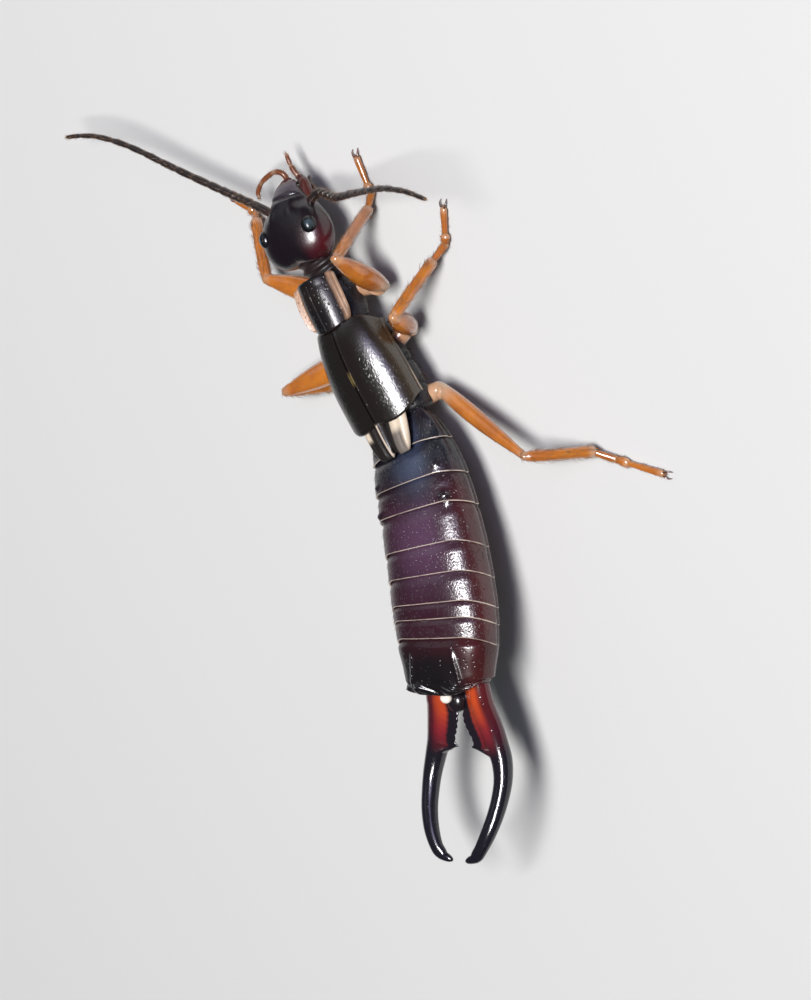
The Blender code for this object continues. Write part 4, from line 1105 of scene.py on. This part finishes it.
def arm_form(side):
    """One arm of the forceps: oval sections carried along the arm's curve.

    On the inner side, up to the large tooth, the section is drawn out to a thin toothed blade: its
    inner half reaches to the blade's edge, thins as it goes and rises a little.
    """
    fine = smooth_curve(ARM_STATIONS, 900)
    end = ARM_STATIONS[-1][1]
    back = np.concatenate([np.linspace(-0.55, 1.05, 160), np.linspace(1.055, 1.4, 80),
                           np.linspace(1.41, end, 150)])
    across, up, wide, high = (np.interp(back, fine[:, 1], fine[:, k])[:, None] for k in (0, 2, 3, 4))
    edge, lift = (column[:, None] for column in read_profile(FLANGE_EDGE, back))
    slope = np.gradient(across[:, 0], back)[:, None]
    back = back[:, None]
    teeth = 0.03 * np.abs(np.sin(np.pi * (back - 0.20) / 0.145))
    teeth = teeth * ease((back - 0.25) / 0.1) * ease((1.1 - back) / 0.05)
    spike = 0.08 * bump(back - 1.185, 0.04)
    share = ease((1.40 - back) / 0.22)
    bladed = np.maximum(across - edge + teeth + spike - wide, 0) * share
    c, s = circle(96)
    out, into = np.maximum(c, 0) * wide, np.maximum(-c, 0) + 0 * wide
    reach = into * (wide + bladed)
    thin = np.where(c < 0, 1 - np.clip(bladed / 0.25, 0, 1) * 0.62 * ease(into * 1.6), 1)
    rise = lift * share * into ** 1.5 * np.clip(bladed / 0.1, 0, 1)
    lean = (out - np.minimum(reach, wide)) * slope
    rings = grid_of(side * (across + out - reach), lean - back, up + s * high * thin + rise)
    closing = np.linspace(0.15, 1, 14)[:, None]
    centre = rings[-1].mean(0)
    way = np.array([-side * 0.26, -0.11, -0.01])
    shrink = np.maximum(blunt(closing, 2.6) * (1 - closing * 0.2), 0.04)
    tip = centre + way * closing[..., None] + (rings[-1] - centre) * shrink[..., None]
    return loft(seated(*forceps_seat(), np.concatenate([rings, tip])),
                back=np.concatenate([back, end + 0.18 * closing]),
                inward=np.concatenate([into, np.repeat(into[-1:], len(closing), 0)]),
                # On the left arm the outer mark is raised by 0.45, so the dark flank reaches further round:
                # painted shade on that arm's side away from the light.
                outer=c + 0.45 * (side < 0), top=s)


class EARWIG_OT_abdomen(bpy.types.Operator):
    """Build the rings of the abdomen and the plate between the forceps"""
    bl_idname = "earwig.abdomen"
    bl_label = "Abdomen"

    def execute(self, context):
        sizes, colours = context.scene.earwig_sizes, context.scene.earwig_colours

        def paint_rings(b):
            body, edge, angle, across, knob = map(b.mark, ("body", "edge", "angle", "across", "knob"))
            # The first rings' black carries a slight blue: painted reflection.
            tone = b.tint(colours.ring_front, colours.ring_middle, b.step(body, 4.9, 5.9))
            flank = b.step(b.calc("ABSOLUTE", across), 0.72, 1.0)
            tone = b.tint(tone, (0.075, 0.013, 0.010), flank, b.step(body, 5.2, 6.5), 0.6)
            # Painted highlight: a broad lilac sheen down the middle rings, a little right of the midline.
            lilac = b.times(b.times(b.step(across, -1.0, 0.2), b.step(across, 0.85, 0.30)),
                            b.times(b.step(body, 5.6, 6.5), b.step(body, 8.6, 6.8)))
            tone = b.tint(tone, (0.085, 0.040, 0.080), lilac, 0.7)
            tone = b.tint(tone, (0.095, 0.032, 0.014), b.step(angle, -0.2, -0.45))
            # Painted highlight: a bluish sheen right of the midline on the first rings.
            blue_sheen_painted = b.times(b.step(across, -0.5, 0.3), b.step(across, 0.75, 0.35), b.step(body, 6.4, 5.0))
            tone = b.tint(tone, (0.045, 0.060, 0.105), blue_sheen_painted, 0.75)
            tone = b.tint(tone, (0.006, 0.004, 0.006), knob, 0.8)
            worn = b.calc("MULTIPLY_ADD", b.step(b.noise(b.where(), 3000.0, 2.0), 0.25, 0.55), 0.5, 0.4)
            tone = b.tint(tone, colours.ring_edge, b.step(edge, 0.70, 0.92), worn)
            return tone, b.tint(tone, (0.012, 0.003, 0.006), 0.45)

        skin = cuticle("ring_cuticle", paint_rings, pits=15000.0, pit_depth=1.2, grain=26000.0,
                       grain_depth=1.0, rough=0.23, spread=0.2, relief=0.008, Specular_IOR_Level=0.9)
        rings = [ring_form(start, end, sizes.ring_step / MM)
                 for start, end in zip((ABDOMEN_FRONT,) + RING_ENDS[:-1], RING_ENDS)]
        put("abdomen", joined(rings), skin)
        hairs = []
        for k, grid in enumerate(form.grid for form in rings):
            place = np.arange(grid.shape[1]) / grid.shape[1]
            flanks = bump(place - 0.5, 0.12) + bump(place - 1.0, 0.12) + bump(place, 0.12)
            rows = np.zeros((grid.shape[0], 1))
            rows[8:32] = 1
            hairs.append(hairs_on(grid, rows * (flanks + 0.03), 80, sizes.body_hair / MM * 0.7, 0.0032,
                                  0.72, 100 + k))
        put("abdomen_hairs", joined(hairs), bristle_material("dark_bristles"))

        def paint_last(b):
            tone = b.tint((0.024, 0.006, 0.009), (0.007, 0.005, 0.006), b.step(b.mark("body"), 9.0, 9.6))
            tone = b.tint(tone, (0.070, 0.009, 0.009), b.step(b.mark("across"), 0.55, 1.0), 0.55)
            return tone, b.tint(tone, (0.004, 0.003, 0.004), 0.5)

        last = cuticle("last_ring_cuticle", paint_last, pit_depth=0.9, grain=30000.0, rough=0.24,
                       grain_depth=0.15, relief=0.010, coat=0.1)
        put("last_ring", last_ring_form(), last)

        def paint_plate(b):
            tone = b.tint((0.010, 0.007, 0.009), (0.75, 0.68, 0.60), b.mark("pale"))
            return tone, b.tint(tone, (0.03, 0.02, 0.02), 0.3)

        plate = cuticle("pygidium_cuticle", paint_plate, pit_depth=0.4, rough=0.25, relief=0.008, coat=0.2)
        put("pygidium", joined(pygidium_forms()), plate)
        return {"FINISHED"}


class EARWIG_OT_forceps(bpy.types.Operator):
    """Build the two arms of the forceps"""
    bl_idname = "earwig.forceps"
    bl_label = "Forceps"

    def execute(self, context):
        colours = context.scene.earwig_colours

        def paint_arm(b):
            back, inward, outer, top = map(b.mark, ("back", "inward", "outer", "top"))
            dark = b.most(b.step(back, 0.75, 1.5), b.times(b.step(inward, 0.42, 0.62), 0.99))
            # The dark maroon flank is the cuticle's own colour; on the left arm it is widened as painted
            # shade.
            flank = b.most(b.step(outer, 0.10, 0.62), b.step(top, 0.2, -0.3))
            ruddy = b.tint(colours.forceps_red, (0.20, 0.014, 0.020), b.step(back, 0.10, 0.95))
            ruddy = b.tint(ruddy, (0.040, 0.004, 0.010), flank, 0.92)
            tone = b.tint(ruddy, colours.forceps_dark, dark)
            return tone, b.tint(tone, colours.forceps_dark, 0.35)

        horn = cuticle("forceps_cuticle", paint_arm, pits=11000.0, grain=38000.0, grain_depth=0.2,
                       rough=0.17, spread=0.08, coat=0.5)
        for side, word in SIDES:
            put("forceps_" + word, arm_form(side), horn)
        return {"FINISHED"}


# Legs

def leg_forms(joints, femur, tibia, tarsus):
    """A leg's joints as tubes: hip, trochanter, thigh, shin, three foot joints and two claws."""
    root, hip, knee, ankle = (np.array(p) for p in joints[:4])
    one, two, toe = (np.array((*p, tarsus * share)) for p, share in zip(joints[4:], (0.62, 0.56, 0.5)))

    def span(a, b, count, arch=0.0):
        """Points of a low arch from a to b, and their places on it from 0 to 1."""
        v = np.linspace(0, 1, count)
        return a + (b - a) * v[:, None] + np.outer(arch * np.sin(np.pi * v), (0, 0, 1.0)), v

    path, v = span(root, root + (hip - root) * 0.86, 24)
    forms = [tube(path, 0.25 - 0.04 * v, 32, joint=0.75, along=0.0)]
    path, v = span(root + (hip - root) * 0.80, hip + (knee - hip) * 0.05, 16)
    forms.append(tube(path, femur * (0.38 + 0.07 * np.sin(np.pi * v)), 28, joint=0.7, along=0.0))
    path, v = span(hip, knee, 60, 0.02)
    shape = 0.33 + 0.19 * np.sin(np.pi * np.clip(v * 0.94 + 0.03, 0, 1) ** 0.75) ** 0.9 - 0.16 * v ** 2
    shape = shape + 0.035 * bump(v - 0.97, 0.05)
    pale = np.maximum(0.9 * bump(v, 0.15), 0.4 * bump(v - 1, 0.06))
    forms.append(tube(path, femur * shape, 32, 0.86, joint=pale, along=v * 0.4))
    path, v = span(knee, ankle, 60, 0.03)
    shape = 0.46 - 0.10 * bump(v, 0.06) + 0.05 * bump(v - 0.3, 0.2) + 0.06 * v ** 3
    pale = np.maximum(0.5 * bump(v, 0.06), 0.6 * bump(v - 1, 0.05))
    forms.append(tube(path, tibia * shape, 28, joint=pale, along=0.4 + v * 0.4))
    lobes = ((ankle, one, (0.40, 0.50), 0.8), (one, one + (two - one) * 0.42, (0.38, 0.62), 0.9),
             (one + (two - one) * 0.36, toe, (0.34, 0.46), 1.0))
    for a, e, (thin, thick), along in lobes:
        path, v = span(a, e, 26)
        shape = thin + (thick - thin) * np.sin(np.pi / 2 * v ** 1.4)
        pale = np.maximum(0.7 * bump(v, 0.1), 0.4 * bump(v - 1, 0.08))
        forms.append(tube(path, tarsus * shape, 22, 0.8, joint=pale, along=along))
    way = unit(toe - two)
    side = unit(np.cross(way, [0, 0, 1.0]))
    for sign in (1, -1):
        spots = [toe + way * out + side * sign * beside + (0, 0, rise) for out, beside, rise in CLAW]
        v = np.linspace(0, 1, 22)
        forms.append(tube(even_curve(spots, 22), 0.034 * (1 - 0.82 * v), 12, joint=0.0, along=1.3))
    return forms


def leg_hairs(forms, length, seed):
    """Short bristles on the thigh, longer ones on the shin, and dense ones under the foot."""
    thigh, shin = forms[2].grid, forms[3].grid
    hairs = [hairs_on(thigh, 1.0, 90, length * 0.6, 0.0042, 0.75, seed),
             hairs_on(shin, 1.0, 260, length, 0.0050, 0.68, seed + 1)]
    for k in (4, 5, 6):
        grid = forms[k].grid
        under = 0.4 + (grid[..., 2] < grid[..., 2].mean())
        hairs.append(hairs_on(grid, under, 110, length * 0.62, 0.0045, 0.72, seed + k))
    hairs.append(hairs_on(shin[-14:], 1.0, 10, length * 1.2, 0.010, 0.75, seed + 9))
    whole = joined(hairs)
    whole.points[:, 2] = np.maximum(whole.points[:, 2], 0.002)
    return whole


class EARWIG_OT_legs(bpy.types.Operator):
    """Build the six legs"""
    bl_idname = "earwig.legs"
    bl_label = "Legs"

    def execute(self, context):
        sizes, colours = context.scene.earwig_sizes, context.scene.earwig_colours

        def paint_leg(b):
            along, joint = map(b.mark, ("along", "joint"))
            tone = limb_tone(b, colours.amber, colours.pale, (0.26, 0.07, 0.015), joint,
                             b.times(b.step(along, 0.5, 1.0), 0.25))
            tone = b.tint(tone, (0.05, 0.015, 0.008), b.step(along, 1.05, 1.25))
            return tone, b.tint(tone, (0.24, 0.06, 0.012), 0.45)

        amber = cuticle("leg_cuticle", paint_leg, pits=16000.0, pit_depth=0.25, grain=50000.0,
                        grain_depth=0.2, relief=0.005, coat=0.9, Specular_IOR_Level=0.8,
                        Subsurface_Weight=0.25, Subsurface_Scale=0.0002,
                        Subsurface_Radius=(1.0, 0.35, 0.12))
        for k, (name, joints) in enumerate(LEGS.items()):
            femur = sizes.femur_hind if "hind" in name else sizes.femur_front
            forms = leg_forms(joints, femur / MM, sizes.tibia / MM, sizes.tarsus / MM)
            put(name, joined(forms), amber)
            put(name + "_hairs", leg_hairs(forms, sizes.leg_hair / MM, 200 + 20 * k),
                bristle_material("bristles"))
        return {"FINISHED"}


# Floor, lights and camera

CAMERA_SIDE = 40.0
CAMERA_BEHIND = 2.0
CAMERA_LEAN = 26.0
CAMERA_AWAY = 170.0
PIXELS_PER_MM = 44.0
PICTURE = (811, 1000)
AIM = np.array([0.0, 0.0, 2.2])
AIM_PIXEL = (372, 415)
SENSOR = 36.0
FLOOR_HALF = 0.6


def camera_axes():
    """Columns right, up and backward of the camera, leaned so the animal stands as photographed."""
    side, behind, lean = (math.radians(a) for a in (CAMERA_SIDE, CAMERA_BEHIND, CAMERA_LEAN))
    toward = np.array([math.sin(side) * math.cos(behind), -math.sin(behind),
                       math.cos(side) * math.cos(behind)])
    rise = np.array([0, 1.0, 0])
    rise = unit(rise - (rise @ toward) * toward)
    right = np.cross(rise, toward)
    up = rise * math.cos(lean) + right * math.sin(lean)
    return np.stack([right * math.cos(lean) - rise * math.sin(lean), up, toward], 1)


def area_light(name, place, size, power, colour):
    """A soft light of two sides, at a place in millimetres, facing the middle of the model."""
    lamp = bpy.data.lights.new(name, "AREA")
    lamp.shape, lamp.energy, lamp.color = "RECTANGLE", power, colour
    lamp.size, lamp.size_y = size[0] * MM, size[1] * MM
    thing = bpy.data.objects.new(name, lamp)
    turned = Vector(np.array((0.0, 0.0, 1.0)) - place).to_track_quat("-Z", "Y").to_matrix().to_4x4()
    thing.matrix_world = Matrix.Translation(Vector((np.array(place) - PLAN_MIDDLE) * MM)) @ turned
    bpy.context.scene.collection.objects.link(thing)


class EARWIG_OT_stage(bpy.types.Operator):
    """Build the floor, the lights and the camera"""
    bl_idname = "earwig.stage"
    bl_label = "Stage"

    def execute(self, context):
        scene = context.scene
        mesh = bpy.data.meshes.new("floor")
        corners = [(x * FLOOR_HALF, y * FLOOR_HALF, 0) for x, y in ((-1, -1), (1, -1), (1, 1), (-1, 1))]
        mesh.from_pydata(corners, [], [(0, 1, 2, 3)])
        floor = bpy.data.objects.new("floor", mesh)
        scene.collection.objects.link(floor)
        paper = bpy.data.materials.new("floor_paper")
        paper.use_nodes = True
        Board(paper.node_tree).feed(paper.node_tree.nodes["Principled BSDF"], {
            "Base Color": scene.earwig_colours.floor, "Roughness": 0.85, "Specular IOR Level": 0.2})
        mesh.materials.append(paper)

        axes = camera_axes()
        offset = (np.array(AIM_PIXEL) - np.array(PICTURE) / 2) / PIXELS_PER_MM
        target = AIM - offset[0] * axes[:, 0] + offset[1] * axes[:, 1]
        place = (target + axes[:, 2] * CAMERA_AWAY - PLAN_MIDDLE) * MM
        lens = bpy.data.cameras.new("camera")
        lens.sensor_width = SENSOR
        lens.lens = SENSOR * CAMERA_AWAY * PIXELS_PER_MM / PICTURE[1]
        lens.clip_start, lens.clip_end = 0.005, 10.0
        camera = bpy.data.objects.new("camera", lens)
        camera.matrix_world = Matrix.Translation(Vector(place)) @ Matrix(axes.tolist()).to_4x4()
        scene.collection.objects.link(camera)
        scene.camera = camera

        world = bpy.data.worlds.new("studio")
        world.use_nodes = True
        Board(world.node_tree).feed(world.node_tree.nodes["Background"], {
            "Color": (0.80, 0.88, 1.0), "Strength": 0.08})
        scene.world = world
        scene.view_settings.view_transform = "Standard"
        area_light("key", (60, 0, 152), (62, 31), 0.42, (1, 0.99, 0.985))
        area_light("sky", (84, 30, 140), (80, 80), 0.05, (0.66, 0.60, 1.0))
        area_light("fill", (-40, 140, 100), (120, 120), 0.02, (0.85, 0.92, 1))
        return {"FINISHED"}


class EARWIG_PT_panel(bpy.types.Panel):
    """The pieces, in the order in which they are built"""
    bl_idname = "EARWIG_PT_panel"
    bl_label = "Earwig"
    bl_space_type = "VIEW_3D"
    bl_region_type = "UI"
    bl_category = "Earwig"

    def draw(self, context):
        for operator in OPERATORS:
            self.layout.operator(operator.bl_idname)
        for group in (context.scene.earwig_sizes, context.scene.earwig_colours):
            box = self.layout.box()
            for name in group.__annotations__:
                box.prop(group, name)


OPERATORS = (EARWIG_OT_head, EARWIG_OT_mouth, EARWIG_OT_feelers, EARWIG_OT_thorax, EARWIG_OT_wings,
             EARWIG_OT_abdomen, EARWIG_OT_forceps, EARWIG_OT_legs, EARWIG_OT_stage)
CLASSES = (EarwigSizes, EarwigColours) + OPERATORS + (EARWIG_PT_panel,)


def register():
    """Add the classes and the scene's own settings."""
    for item in CLASSES:
        bpy.utils.register_class(item)
    bpy.types.Scene.earwig_sizes = bpy.props.PointerProperty(type=EarwigSizes)
    bpy.types.Scene.earwig_colours = bpy.props.PointerProperty(type=EarwigColours)


def unregister():
    """Take them away again."""
    del bpy.types.Scene.earwig_sizes
    del bpy.types.Scene.earwig_colours
    for item in reversed(CLASSES):
        bpy.utils.unregister_class(item)


def main():
    """Build every piece in order."""
    register()
    for operator in OPERATORS:
        group, name = operator.bl_idname.split(".")
        getattr(getattr(bpy.ops, group), name)()


if __name__ == "__main__":
    main()
